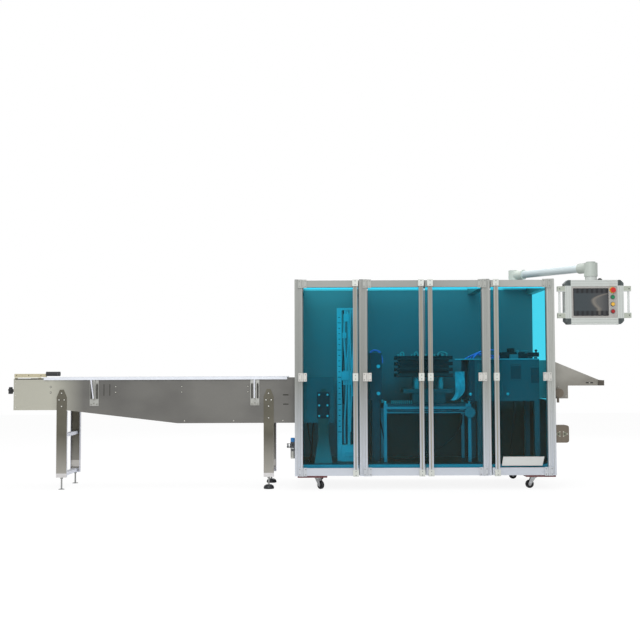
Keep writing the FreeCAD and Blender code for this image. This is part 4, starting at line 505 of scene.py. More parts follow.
class PACKER_OT_conveyor(PackerPiece, bpy.types.Operator):
    """Finishes the infeed conveyor: sheet sides, belt, rails, legs, feet, bar and knob"""

    bl_idname = "packer.conveyor"
    bl_label = "Infeed conveyor"

    def build(self):
        c = self.colours
        side = stainless("brushed_side", c.sheet_light, c.sheet_dark)
        # Painted reflection: the brushed sheet is lighter towards its left end.
        side.recolour(side.span(side.x, -2.05, -1.80, 1, 0), tone(188, 187, 174))
        dress(side, "conveyor_sides")
        bracket = stainless("brushed_bracket", tone(184, 185, 180), tone(160, 160, 154))
        dress(bracket, "guide_brackets")
        legs = stainless("brushed_leg", tone(104, 101, 89), tone(88, 85, 74), (40, 40, 1))
        # Painted light from the pale floor: the legs are lighter towards the floor, with a pale
        # band at the foot.
        legs.recolour(legs.span(legs.z, 0.10, 0.42, 1, 0), tone(166, 163, 156))
        legs.recolour(legs.z < 0.122, tone(214, 212, 212))
        patch = (legs.y > at_y(560)) * (legs.z > 0.135) * (legs.z < 0.185)
        legs.recolour(patch, tone(212, 208, 202))
        # Painted highlight: the ties between the legs' faces are pale and bluish, standing in for
        # their lit flanges.
        lit_ties = (legs.y > at_y(112)) * (legs.y < at_y(578))
        legs.recolour(lit_ties, tone(228, 232, 244))
        dress(legs, "conveyor_legs", "inner_legs")
        rail = moulded("white_rail", tone(222, 226, 234), 0.38)
        dress(rail, "guide_rails")
        belt = Finish("pale_belt", c.belt, 0.6)
        belt.set(Base_Color=belt.tint(c.belt, belt.noise(0.05, (0.3, 1, 1), 4), 0.2))
        belt.bump(belt.noise(0.002, detail=1), 0.25, 0.0004)
        dress(belt, "conveyor_belt")
        drum = stainless("turned_steel", tone(170, 171, 170), tone(148, 149, 149), (40, 1, 40), 0.3)
        dress(drum, "conveyor_drums", "drive_sprocket")
        tip = stainless("tip_steel", tone(124, 118, 108), tone(84, 79, 72), (40, 1, 40), 0.4)
        dress(tip, "tip_roller")
        feet = Finish("rubber_feet", tone(38, 40, 44), 0.55)
        stem = feet.z > 0.032
        disc = (feet.x < -1.0) * (feet.z < 0.2)
        steel = feet.span(stem + disc, 0.4, 0.6)
        feet.set(Base_Color=feet.mix(steel, tone(38, 40, 44), tone(160, 161, 160)))
        feet.set(Metallic=steel * 0.7)
        feet.rough(feet.noise(0.01), 0.34, 0.5)
        dress(feet, "levelling_feet")
        bar = painted("worn_bar", tone(186, 178, 150), 0.5, 0.3)
        dress(bar, "hold_down_bar")
        dress(moulded("black_grip", tone(44, 45, 47), 0.5), "bar_grip", "tension_knob")


class PACKER_OT_machinery(PackerPiece, bpy.types.Operator):
    """Finishes what stands inside the cabin and the chute, motor and sockets beside it"""

    bl_idname = "packer.machinery"
    bl_label = "Machinery"

    def build(self):
        c = self.colours
        housing = painted("housing_paint", c.housing, 0.38)
        dress(housing.recolour(housing.x < at_x(1391), tone(72, 77, 80)), "seal_housing")
        unit = painted("unit_paint", tone(70, 76, 78), 0.4)
        dress(unit.recolour(unit.y < at_y(238.5), tone(248, 250, 248)), "pull_unit")
        dress(painted("dark_head", tone(48, 46, 44), 0.4), "seal_head")
        stand = stainless("stand_steel", tone(252, 252, 250), tone(222, 224, 222), (40, 40, 1), 0.3)
        dress(stand.set(Metallic=0.05), "film_stand")
        table = stainless("table_steel", tone(186, 188, 191), tone(166, 168, 171), roughness=0.32)
        rail = (table.x > at_x(716)) * (table.x < at_x(1324))
        lines = (table.z > 0.620) + (table.z < 0.593) * (table.z > 0.576)
        dress(table.recolour(rail * lines, tone(92, 92, 92)), "table_frame")
        press = painted("press_paint", tone(44, 49, 52), 0.42)
        plates = press.add("ShaderNodeMath", {"operation": "SINE"}, [press.z * 110])
        layer = press.span(plates, -0.2, 0.2)
        upper = press.mix(layer, tone(14, 13, 12), tone(60, 55, 50))
        column = press.span(press.z, 0.756, 0.758) * press.span(press.z, 0.849, 0.847)
        lower = press.mix(column, tone(112, 110, 106), tone(212, 210, 204))
        stack = press.z > 0.8485
        press.set(Base_Color=press.mix(stack, lower, upper))
        dress(press, "press_stack")
        dress(stainless("chute_steel", tone(182, 180, 172), tone(146, 143, 135)), "outfeed_chute")
        bronze = painted("bronze_paint", tone(113, 104, 92), 0.42, 0.3, 0.3)
        dress(bronze, "outfeed_motor", "socket_box")
        body = painted("die_cast", tone(66, 68, 72), 0.4, 0.1, 0.4)
        bowl = body.z < 0.292
        body.set(Base_Color=body.mix(bowl, tone(66, 68, 72), tone(176, 176, 170)))
        dress(body, "air_regulator")
        dress(moulded("blue_knob", tone(36, 116, 178), 0.35), "regulator_knob")


class PACKER_OT_operator_panel(PackerPiece, bpy.types.Operator):
    """Finishes the operator panel and the arm that carries it"""

    bl_idname = "packer.operator_panel"
    bl_label = "Operator panel"

    def build(self):
        c = self.colours
        arm = painted("arm_paint", tone(208, 217, 209), 0.4)
        arm.recolour(arm.span(arm.x, 1.72, 2.04), tone(176, 184, 177))
        dress(arm, "arm_base", "arm_fittings")
        dress(painted("arm_tube_paint", tone(202, 214, 217), 0.35), "arm_tube")
        dress(painted("panel_paint", c.panel, 0.34), "panel_case")
        grips = painted("grip_paint", tone(172, 178, 166), 0.4)
        bars = abs(grips.z - 1.415) < 0.085
        dress(grips.recolour(bars, tone(206, 210, 208)), "panel_handles")
        dress(moulded("corner_plastic", tone(76, 84, 84), 0.5), "panel_corners")
        glass = worn("screen_glass", tone(26, 28, 31), 0, 0.08, 0.12, 0.22)
        dress(glass, "panel_screen")
        buttons = Finish("button_caps", tone(200, 45, 45), 0.3)
        low = buttons.z < 1.371
        green = (buttons.z > 1.426) * (buttons.z < 1.479)
        amber = (buttons.z > 1.371) * (buttons.z < 1.426)
        base = (buttons.z > 1.479) * (buttons.y > -0.4675)
        buttons.set(Base_Color=buttons.mix(low, tone(196, 40, 38), tone(160, 30, 34)))
        buttons.recolour(base, tone(224, 188, 40))
        buttons.recolour(green, tone(20, 128, 84)).recolour(amber, tone(226, 178, 66))
        wear = buttons.span(buttons.noise(0.01), 0.3, 0.7, 0.94, 1.05)
        buttons.set(Base_Color=buttons.scaled(buttons.fed("Base Color"), wear))
        dress(buttons, "panel_buttons")


class PACKER_OT_casters(PackerPiece, bpy.types.Operator):
    """Finishes the casters and the primed plates above them"""

    bl_idname = "packer.casters"
    bl_label = "Casters"

    def build(self):
        dress(painted("primer", tone(118, 62, 60), 0.55, 0.16), "caster_plates")
        zinc = Finish("bright_zinc", tone(186, 188, 190), 0.28, 0.8)
        spangle = zinc.noise(0.006, detail=2)
        zinc.set(Base_Color=zinc.tint(tone(186, 188, 190), spangle, 0.2))
        zinc.rough(spangle, 0.22, 0.38)
        dress(zinc, *(f"caster_fork_{corner}" for corner in CASTERS))
        tyre = moulded("black_tyre", tone(34, 35, 37), 0.55)
        dress(tyre, *(f"caster_wheel_{corner}" for corner in CASTERS))


HEX = [(5.6, 0), (5.6, 0.6), (4.8, 0.7), (4.8, 4.2), (4.2, 4.8)]
WASHER = [(7.6, 0), (8.0, 0.4), (8.0, 1.0), (7.6, 1.4)]
CAP = [(3.8, 0), (4.0, 0.3), (4.0, 2.6), (3.5, 3.1), (2.1, 3.1), (1.9, 1.4)]
HEX_WIDTH, CAP_WIDTH = 11.2, 8


def heads(profile, places, axis=FRONT, size=1.0, steps=18):
    """One screw head's rings for each place, its profile scaled by size."""
    drawn = [(radius * size, height * size) for radius, height in profile]
    return [turned(drawn, place, axis, steps) for place in places]


def joined(*stacks):
    """A Surface made of several lists of rings."""
    surface = Surface()
    for stack in stacks:
        for rings in stack:
            surface.loft(rings)
    return surface


class PACKER_OT_conveyor_fasteners(PackerPiece, bpy.types.Operator):
    """Adds the bolts, screws and slots of the infeed conveyor's legs and side plates"""

    bl_idname = "packer.conveyor_fasteners"
    bl_label = "Conveyor fasteners"

    def build(self):
        bolt = worn("bolt_zinc", tone(222, 221, 212), 0.4, 0.004, 0.24, 0.4)
        # slot_shade is painted shade: dark washers round the leg bolts, dark slot openings, dark
        # patches round the rail screws and the fold's shadow strip.
        dark = drifting("slot_shade", tone(58, 57, 52), 0.7, 0.3, 0.02)
        scale = self.sizes.bolt_head / HEX_WIDTH
        first = [(-1794, 736), (-1774, 685), (-1814, 685), (-1794, 635)]
        second = [(-203, 731), (-183, 680), (-223, 680), (-203, 632), (-203, 542)]
        washers, bolts = [], []
        for face, way in ((100, FRONT), (590, BACK)):
            places = [(x, face, z) for x, z in first + second]
            washers += heads(WASHER, places, way)
            bolts += heads(HEX, places, way, scale, 6)
        joined(washers).make("leg_washers", dark, "stainless")
        joined(bolts).make("leg_bolts", bolt, "stainless", edge=20)
        low = [(-850, 521), (-473, 521), (-94, 521), (-2150, 812), (-2150, 719), (-2150, 628)]
        small = self.sizes.screw_head / CAP_WIDTH
        stacks = []
        for face, way in SIDES:
            places = [(x, face, z) for x, z in RAIL_SCREWS + low]
            stacks += heads(CAP, places, way, small)
        joined(stacks).make("side_screws", bolt, "stainless", edge=30)
        # Dark patches of painted shade for the side plates' slots, round the rail screws and in the
        # brackets' slots.
        slots = []
        for face, way in SIDES:
            for x in (-1470, -1425):
                slots.append(block((x, face, 760), (7, 90, 0.35), way, 3.4, 0.1))
            for z in (717, 646):
                slots.append(block((-72, face, z), (44, 8, 0.35), way, 3.9, 0.1))
        for x, z in RAIL_SCREWS:
            slots.append(block((x, 103, z), (13, 16, 0.3), radius=6, soft=0.1))
        for x in (middle + side for middle in RAIL_BRACKETS for side in (-22, 22)):
            slots.append(block((x, 92.5, 748), (13, 112, 1), radius=3, soft=0.2))
        joined(slots).make("side_slots", dark, "stainless")
        strip = [block((-2035, 103, 846), (241, 8, 0.6), radius=1, soft=0.1)]
        joined(strip).make("fold_shadow", dark, "stainless")


class PACKER_OT_rail_rods(PackerPiece, bpy.types.Operator):
    """Adds the slanted stay rods in front of the rail brackets, and the brackets' clamp nuts"""

    bl_idname = "packer.rail_rods"
    bl_label = "Rail stays"

    def build(self):
        stay = moulded("stay_white", tone(226, 228, 238), 0.32)
        rods = Surface()
        for top, foot in ((-1566, -1548), (-312, -311)):
            for y in (81, 609):
                middle = ((top + foot) / 2, y, 768)
                line = flowing((top, y, 838), middle, (foot, y, 694))
                rods.loft(swept(line, 4.6))
        rods.make("rail_stays", stay, "rail_white")
        nut = worn("clamp_nut", tone(150, 150, 142), 0.5, 0.004, 0.28, 0.42)
        places = [(x, 81, z) for x in RAIL_BRACKETS for z in (690, 658)]
        places += [(x, 85, 650) for x in (-1566, -1522, -331, -287)]
        joined(heads(HEX, places, size=1.1, steps=6)).make("clamp_nuts", nut, "stainless", edge=20)


class PACKER_OT_bar_trim(PackerPiece, bpy.types.Operator):
    """Adds the worn hold-down bar's pin holes, its pale lower strip and the grip's end rings"""

    bl_idname = "packer.bar_trim"
    bl_label = "Hold-down bar trim"

    def build(self):
        pale = painted("pale_strip", tone(214, 212, 196), 0.4)
        strip = [block((-2052, 88, 857), (206, 5, 1.2), radius=1, soft=0.3)]
        joined(strip).make("bar_strip", pale, "tan_bar")
        # Painted shade: dark discs in the bar's pin holes.
        shaded_hole = drifting("hole_shade", tone(70, 66, 58), 0.7, 0.3, 0.01)
        disc = [(3.6, 0), (3.8, 0.2), (3.6, 0.4)]
        places = [(x, 88, 873) for x in (-2140, -2046, -1952)]
        joined(heads(disc, places)).make("bar_holes", shaded_hole, "tan_bar")
        ring = moulded("grip_ring", tone(78, 80, 82), 0.4)
        band = [(16.6, 0), (17.8, 0.8), (17.8, 4.2), (16.6, 5)]
        places = [(x, 105, 885) for x in (-1914, -1826)]
        joined(heads(band, places, (1, 0, 0), steps=32)).make("grip_rings", ring, "black_plastic")


class PACKER_OT_door_trim(PackerPiece, bpy.types.Operator):
    """Adds the handles' inlays, the panes' glowing edges, a painted highlight, and the screws of
    hinges and clips
    """

    bl_idname = "packer.door_trim"
    bl_label = "Door trim"

    def build(self):
        inlay = drifting("handle_inlay", tone(158, 150, 134), 0.55, 0.2, 0.03, (1, 1, 0.3))
        steel = worn("screw_steel", tone(120, 122, 120), 0.5, 0.004, 0.3, 0.45)
        # The pane edges glow by emission though they are no lamp: a painted highlight along the top
        # of each pane.
        lit = worn("pane_edge_glow", (1, 1, 1), 0, 0.02, 0.16, 0.24)
        lit.set(Emission_Color=(1, 1, 1), Emission_Strength=0.75)
        small = self.sizes.screw_head / CAP_WIDTH
        for door, middle in HANDLES.items():
            strips = Surface()
            for low, high in ((154, 820), (884, 1543)):
                size = (8, high - low, 0.8)
                strips.loft(block((middle, -12.9, (low + high) / 2), size, radius=1, soft=0.2))
            strips.make(f"{door}_inlay", inlay, "profile_aluminium", door)
            reach = [corner[0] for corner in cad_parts[f"{door}_pane"].bound_box]
            middle_x = ((min(reach) + max(reach)) / 2 - at_x(0)) * 1000
            wide = (max(reach) - min(reach)) * 1000 - 4
            edge = block((middle_x, 16.4, 1531), (wide, 10, 1), radius=1, soft=0.3)
            joined([edge]).make(f"{door}_pane_edge_glow", lit, "tinted_acrylic", door)
            inward = 1 if door in ("door_1", "door_2") else -1
            pin = DOORS[door]
            moving = [(pin + inward * LEAF, -10, z) for z in HINGE_SCREWS]
            moving += [(middle, -24, z) for z in CLIP_SCREWS]
            fixed = [(pin - inward * LEAF, -10, z) for z in HINGE_SCREWS]
            for part, body, places in (("screws", door, moving), ("post_screws", "machine", fixed)):
                screws = joined(heads(CAP, places, size=0.85 * small))
                screws.make(f"{door}_{part}", steel, "white_plastic", body, 30)


class PACKER_OT_name_plate(PackerPiece, bpy.types.Operator):
    """Adds the bare slanted plate low on the fourth door"""

    bl_idname = "packer.name_plate"
    bl_label = "Name plate"

    def build(self):
        pale = Finish("plate_silver", tone(206, 208, 206), 0.35, 0.3)
        brushed = pale.noise(0.02, (1, 40, 40))
        pale.set(Base_Color=pale.tint(tone(206, 208, 206), brushed, 0.12))
        pale.rough(brushed, 0.3, 0.42)
        corners = np.array([(1580, 246), (1568, 178), (1876, 178), (1892, 246)], float)
        middle = corners.mean(0)
        rings = []
        for level, draw in ((10.0, 1.0), (9.0, 1.0), (8.6, 0.992)):
            flat = middle + (corners - middle) * draw
            rings.append([(x, level, z) for x, z in flat])
        Surface().loft(rings).make("name_plate", pale, "tinted_acrylic", "door_4")


class PACKER_OT_profile_grooves(PackerPiece, bpy.types.Operator):
    """Adds dark lines of painted shade in the posts' and roof rails' grooves, and the end caps of
    the posts
    """

    bl_idname = "packer.profile_grooves"
    bl_label = "Profile grooves"

    def build(self):
        shade = drifting("groove_shade", tone(120, 121, 116), 0.6, 0.2, 0.02, (1, 1, 0.2))
        lines = []
        for x in (post + side for post in POSTS for side in (-13, 13)):
            lines.append(block((x, 0, 850), (1.6, 1470, 0.4), radius=0.5, soft=0.1))
        for x, way in ((0, (-1, 0, 0)), (1982, (1, 0, 0))):
            for y in (30, 870):
                lines.append(block((x, y, 850), (1.8, 1470, 0.4), way, 0.5, 0.1))
        joined(lines).make("groove_lines", shade, "profile_aluminium")
        cap = moulded("post_cap", tone(70, 72, 72), 0.5)
        caps = []
        for post in POSTS:
            for y in (30, 870):
                caps.append(block((post, y, 1595), (58, 58, 3), UP, 3, 1))
        joined(caps).make("post_caps", cap, "corner_dark")


class PACKER_OT_inner_fittings(PackerPiece, bpy.types.Operator):
    """Adds the knobs, plates, painted highlight strips, pins, loops and hatches inside the cabin"""

    bl_idname = "packer.inner_fittings"
    bl_label = "Inner fittings"

    def build(self):
        bright = worn("knob_chrome", tone(250, 250, 246), 0.2, 0.01, 0.16, 0.28)
        dome = [(9, 0), (9, 3), (6, 5), (6, 10), (11, 13), (12, 18), (9, 22), (4, 24)]
        places = [(x, 150, 717) for x in (1354, 1642)]
        tips = [(9, 0), (9, 10), (12, 13), (12, 18), (7, 22)]
        corners = [(x, y, 643) for x in (699, 1355) for y in (212, 608)]
        rows = [(8, 0), (8, 6), (5, 8)]
        bolts = [(x, 97, z) for x in (185, 249) for z in (717, 636, 555)]
        joined(
            heads(dome, places), heads(tips, corners, UP), heads(rows, bolts)
        ).make("bright_knobs", bright, "bright_steel")
        black = painted("black_plate", tone(34, 34, 36), 0.5)
        plates = [block((217, 100, 637), (96, 202, 3), radius=4)]
        joined(plates).make("leg_plate", black, "machine_grey")
        # Painted highlights: a pale strip along the sealing unit's top edge and pale strips along
        # the tops of the back sheets, where bright light shows through the open roof.
        pale = painted("painted_highlight", tone(238, 240, 238), 0.4)
        strips = [block((1562, 150, 987), (650, 6, 4), radius=1, soft=0.5)]
        for left, right in ((62, 490), (554, 1428), (1492, 1920)):
            size = (right - left, 15, 2)
            strips.append(block(((left + right) / 2, 777, 1579), size, radius=1, soft=0.4))
        joined(strips).make("painted_highlight_strips", pale, "sheet_teal_grey")
        chain = painted("chain_green", tone(190, 206, 196), 0.4)
        pin = [(3.4, 0), (3.4, 18), (5, 20), (5, 24), (3, 25)]
        row = [(752 + 15.3 * step, 214, 643) for step in range(11)]
        fitting = [(7, 0), (7, 5), (4.5, 6), (4.5, 12), (8, 13), (8, 18), (4, 19)]
        along = (826, 852, 936, 962, 1050, 1120, 1152, 1190)
        tops = [(x, y, 1015) for x in along for y in (270, 520)]
        pins = joined(heads(pin, row, UP), heads(fitting, tops, UP))
        pins.make("chain_pins", chain, "bright_steel")
        loops = Surface()
        for left, right in ((826, 852), (936, 962), (1120, 1190)):
            rise = ((left, 1030), (left, 1052), (right, 1052), (right, 1030))
            line = flowing(*((x, 270, z) for x, z in rise), steps=16)
            loops.loft(swept(line, 3.4, 8))
        loops.make("top_loops", chain, "bright_steel")
        hatch = painted("hatch_paint", tone(128, 130, 126), 0.36)
        leaves = [block((1500, UNIT_FACE, 830), (180, 250, 3), radius=8)]
        leaves.append(block((1600, UNIT_FACE, 830), (8, 250, 3), radius=3))
        joined(leaves).make("housing_hatches", hatch, "machine_grey")


class PACKER_OT_head_fittings(PackerPiece, bpy.types.Operator):
    """Adds the sealing unit's hatch, side plate, valve block, rail and knobs"""

    bl_idname = "packer.head_fittings"
    bl_label = "Sealing unit fittings"

    def build(self):
        shade = painted("plate_shade", tone(74, 82, 82), 0.4)
        plates = [block((1709, UNIT_FACE, 885), (80, 122, 4), radius=6)]
        plates.append(block((1856, UNIT_FACE, 865), (62, 126, 6), radius=5))
        joined(plates).make("side_plates", shade, "machine_grey")
        rim = painted("plate_rim", tone(132, 140, 140), 0.4)
        rims = [block((1709, 146, z), (70, 4, 1), radius=1, soft=0.2) for z in (938, 830)]
        rims.append(block((1856, 144, 924), (62, 5, 1), radius=1, soft=0.2))
        joined(rims).make("plate_rims", rim, "machine_grey")
        light = painted("valve_paint", tone(150, 158, 158), 0.36)
        valves = [block((1706, 250, 1007), (66, 33, 50), radius=4)]
        ball = [(5, 0), (5, 14), (10, 18), (12, 25), (10, 32), (4, 36)]
        knob = heads(ball, [(1738, 226, 1022)], UP, steps=24)
        ring = [(26, 0), (28, 1.5), (28, 4.5), (26, 6), (22, 5), (22, 1)]
        dial = heads(ring, [(1800, 262, 1050)], UP, steps=32)
        joined(valves, knob, dial).make("valve_block", light, "bright_steel")
        black = painted("rail_black", tone(40, 40, 40), 0.45)
        rail = [block((1860, 262, 1022), (84, 34, 60), radius=3)]
        button = [(6, 0), (6, 10), (11, 13), (11, 20), (7, 24)]
        post = heads(button, [(1884, 232, 1038)], UP)
        feet = [block((x, 250, 995), (20, 14, 40), radius=2) for x in (1840, 1880)]
        joined(rail, post, feet).make("head_rail", black, "machine_grey")


# Corners of the hoses' and cables' curves, in layout millimetres.
HOSES = [
    [(1335, 300, 990), (1362, 300, 1006), (1398, 292, 1024), (1470, 286, 1062), (1540, 300, 1066)],
    [(1380, 320, 990), (1396, 320, 1030), (1430, 316, 1040), (1500, 312, 1010), (1560, 320, 992)],
    [(1400, 280, 992), (1403, 280, 1052), (1462, 280, 1032), (1540, 290, 1012), (1610, 300, 1012)],
    [(1540, 330, 992), (1590, 320, 1026), (1650, 312, 1034), (1668, 312, 1016), (1640, 330, 992)],
    [(1590, 290, 990), (1604, 290, 1016), (1650, 290, 1000), (1690, 300, 1004), (1720, 320, 1034)],
    [(1540, 246, 994), (1590, 240, 1012), (1648, 236, 1034), (1664, 238, 1020), (1632, 244, 996)],
    [(1560, 232, 994), (1600, 228, 1004), (1640, 226, 1014), (1652, 230, 994)],
    [(1392, 262, 990), (1414, 262, 1018), (1440, 262, 1052), (1500, 262, 1070), (1560, 270, 1060)],
    [(588, 300, 1042), (610, 296, 1078), (650, 292, 1062), (672, 300, 1044)],
    [(596, 420, 1042), (640, 410, 1090), (700, 400, 1040), (690, 390, 960)],
]
CABLES = [
    [(110, 150, 590), (60, 152, 430), (170, 160, 330), (96, 170, 196)],
    [(150, 150, 560), (120, 152, 400), (140, 170, 300), (120, 170, 196)],
    [(1290, 170, 560), (1310, 168, 380), (1120, 180, 260), (900, 200, 220), (760, 260, 200)],
    [(640, 300, 660), (660, 260, 470), (720, 240, 330), (700, 300, 200)],
    [(1700, 200, 660), (1720, 190, 520), (1640, 190, 380), (1700, 240, 200)],
]
# The film stand's lines: place along X, how far they sway, and their lower end.
STAND_LINES = [(377, 9, 640), (392, -8, 330), (408, 12, 900), (436, -6, 420), (452, 8, 700)]


class PACKER_OT_inner_hoses(PackerPiece, bpy.types.Operator):
    """Adds the violet air hoses, the lines on the film stand and the cables on the deck"""

    bl_idname = "packer.inner_hoses"
    bl_label = "Inner hoses"

    def build(self):
        violet = drifting("hose_violet", tone(196, 158, 255), 0.35, 0.15, 0.05)
        radius = self.sizes.air_hose / 2
        hoses = Surface()
        for run in HOSES:
            hoses.loft(swept(flowing(*run, steps=32), radius, 10))
        hoses.make("air_hoses", violet, "blue_plastic")
        dark = moulded("cable_black", tone(26, 26, 28), 0.5)
        cables = Surface()
        lines = Surface()
        for x, sway, low in STAND_LINES:
            z = np.linspace(1378, low, 48)
            wave = x + sway * np.sin((1378 - z) / 120)
            line = np.array([(a, 300 + 0.4 * sway, b) for a, b in zip(wave, z)])
            (cables if x == 377 else lines).loft(swept(line, 5 if x == 377 else 7, 8))
        grey = moulded("line_grey", tone(232, 236, 238), 0.4)
        lines.make("stand_lines", grey, "white_plastic")
        for run in CABLES:
            cables.loft(swept(flowing(*run, steps=32), 5, 8))
        cables.make("cables", dark, "black_plastic")


class PACKER_OT_film_web(PackerPiece, bpy.types.Operator):
    """Adds the loose film beside the sealing unit, and the film stand's scale and clips"""

    bl_idname = "packer.film_web"
    bl_label = "Film web"

    def build(self):
        """Film ring at height z: a thin strip whose middle is x = 1280 - 50 s^2 and whose half
        width is 37 - 16 s, with s the share of the tail below 745 and u from -1 to 1 across.
        Its front is y = 186 + 12 sin(z / 26) + 7 sin(3 u + z / 40), its back 2 mm behind."""
        film = Finish("film", tone(244, 250, 250), 0.22)
        # Painted light and shade of the film's folds: this noise carries the tone far up and down,
        # and also the roughness.
        crease_light_and_shade = film.noise(0.03, (1, 1, 0.5), 4)
        film.set(Base_Color=film.tint(tone(206, 214, 214), crease_light_and_shade, 0.9))
        film.rough(crease_light_and_shade, 0.14, 0.4)
        rings = []
        for z in np.linspace(892, 668, 40):
            tail = max(0.0, (745 - z) / 77)
            middle = 1280 - 50 * tail**2
            half = 37 - 16 * tail
            u = np.linspace(-1, 1, 12)
            y = 186 + 12 * np.sin(z / 26) + 7 * np.sin(3 * u + z / 40)
            front = [(middle + half * a, b, z) for a, b in zip(u, y)]
            back = [(middle + half * a, b + 2, z) for a, b in zip(u[::-1], y[::-1])]
            rings.append(front + back)
        Surface().loft(rings).make("film_web", film, "sheet_teal_grey", edge=60)
        mark = painted("scale_mark", tone(96, 98, 98), 0.5)
        marks = []
        for step in range(22):
            z = 420 + step * 43
            wide = 15 if step % 5 else 26
            marks.append(block((346, 311.5, z), (wide, 5, 0.5), radius=1, soft=0.1))
        joined(marks).make("stand_scale", mark, "bright_steel")
        clip = painted("stand_clips", tone(232, 236, 236), 0.4)
        clips = [
            block((402, 310, 1320), (46, 60, 24), radius=6),
            block((386, 300, 1180), (30, 44, 20), radius=5),
            block((392, 304, 860), (56, 70, 20), radius=6),
            block((424, 270, 250), (70, 40, 8), radius=6),
        ]
        joined(clips).make("stand_clips", clip, "bright_steel")


class PACKER_OT_panel_trim(PackerPiece, bpy.types.Operator):
    """Adds the operator panel's field, display, grooves, corner ridges, gland and button rings"""

    bl_idname = "packer.panel_trim"
    bl_label = "Panel trim"

    def build(self):
        mid_x, face, mid_z = PANEL
        field = painted("panel_field", tone(172, 170, 166), 0.4)
        sheets = [block((mid_x, face, mid_z), (348, 239, 0.5), radius=2, soft=0.1)]
        joined(sheets).make("panel_field", field, "panel_grey", "panel")
        middle = mid_x - 27.5
        shown = [block((middle, face - 6, mid_z), (256, 198, 0.5), radius=3, soft=0.2)]
        joined(shown).make("display", self.display(middle), "screen_black", "panel")
        # Painted shade: darker lines in the panel rails' grooves.
        line = drifting("rail_groove_shade", tone(150, 153, 150), 0.5, 0.15, 0.05)
        front = face - 4
        grooves = []
        for rise in (158, 138, -154, -134):
            place = (mid_x, front, mid_z + rise)
            grooves.append(block(place, (355, 1.6, 0.3), radius=0.5, soft=0.1))
        for side in (-210, -192, 192, 210):
            place = (mid_x + side, front, mid_z)
            grooves.append(block(place, (1.6, 246, 0.3), radius=0.5, soft=0.1))
        joined(grooves).make("rail_grooves", line, "panel_grey", "panel")
        dark = moulded("corner_ridge", tone(56, 62, 62), 0.5)
        ridges = []
        signs = [(sx, sz) for sx in (-1, 1) for sz in (-1, 1)]
        for sx, sz in signs:
            for step in range(4):
                x = mid_x + sx * (202.5 - 4 * step)
                z = mid_z + sz * (158 - 8 * step)
                ridges.append(block((x, front, z), (22, 2.2, 1), radius=1, soft=0.3))
        joined(ridges).make("corner_ridges", dark, "corner_dark", "panel")
        black = moulded("gland_black", tone(36, 38, 38), 0.45)
        dome = [(18, 0), (18.5, 1), (18.5, 5), (15, 10), (9, 15), (4, 16.5)]
        gland = joined(heads(dome, [(2329, -8, 1583)], UP, steps=28))
        gland.make("cable_gland", black, "black_plastic", "panel")
        collar = [(15.4, 0), (17, 0.8), (17, 6), (15, 7.4), (13.6, 7.4)]
        rings = [(mid_x + 138, face, z) for z in (1452, 1398, 1344)]
        ring = worn("button_collar", tone(96, 98, 98), 0.5, 0.01, 0.24, 0.38)
        collars = joined(heads(collar, rings, steps=28))
        collars.make("button_collars", ring, "panel_grey", "panel", 30)
        screws = [(mid_x + sx * 263, -44.5, mid_z + sz * 101) for sx, sz in signs]
        joined(heads(CAP, screws)).make("handle_screws", ring, "panel_grey", "panel", 30)

    def display(self, middle):
        """The switched-off screen: slate with dark rows above and below, a pale bent band that is a
        painted reflection, whose left edge is x = 8 + 0.039 up^2 above z = 12 mm and x = 8 + 0.0111
        down^2 below, with down held at 60 mm, and a faint pale veil, also a painted reflection."""
        f = Finish("display", tone(60, 68, 72), 0.2)
        z = (f.z - 1.415) * 1000
        x = (f.x - at_x(middle)) * 1000
        above = f.span(z, 12, 100, 0, 88)
        below = f.span(z, 12, -48, 0, 60)
        gap = x - 8 - above * above * 0.039 - below * below * 0.0111
        # Painted reflection: a pale bent band across the dark screen.
        band = f.span(gap, -14, 8) * f.span(gap, 38, 10)
        # Painted reflection: a faint pale veil past the band's edge, fading out to the right.
        reflected_veil = f.span(gap, -4, 10) * f.span(x, 118, 60) * 0.2
        shade = f.mix(f.span(x, -30, 60), tone(60, 68, 72), tone(70, 72, 74))
        shade = f.mix(reflected_veil, shade, tone(150, 148, 142))
        shade = f.mix(band * 0.42, shade, tone(152, 143, 130))
        row = f.span(abs(z), 62, 72)
        cells = f.add("ShaderNodeMath", {"operation": "SINE"}, [x * 0.17])
        icons = row * f.span(cells, -0.2, 0.5, 0.5, 0.95)
        f.set(Base_Color=f.mix(icons, shade, tone(30, 31, 34)))
        f.rough(f.noise(0.05), 0.16, 0.26)
        return f


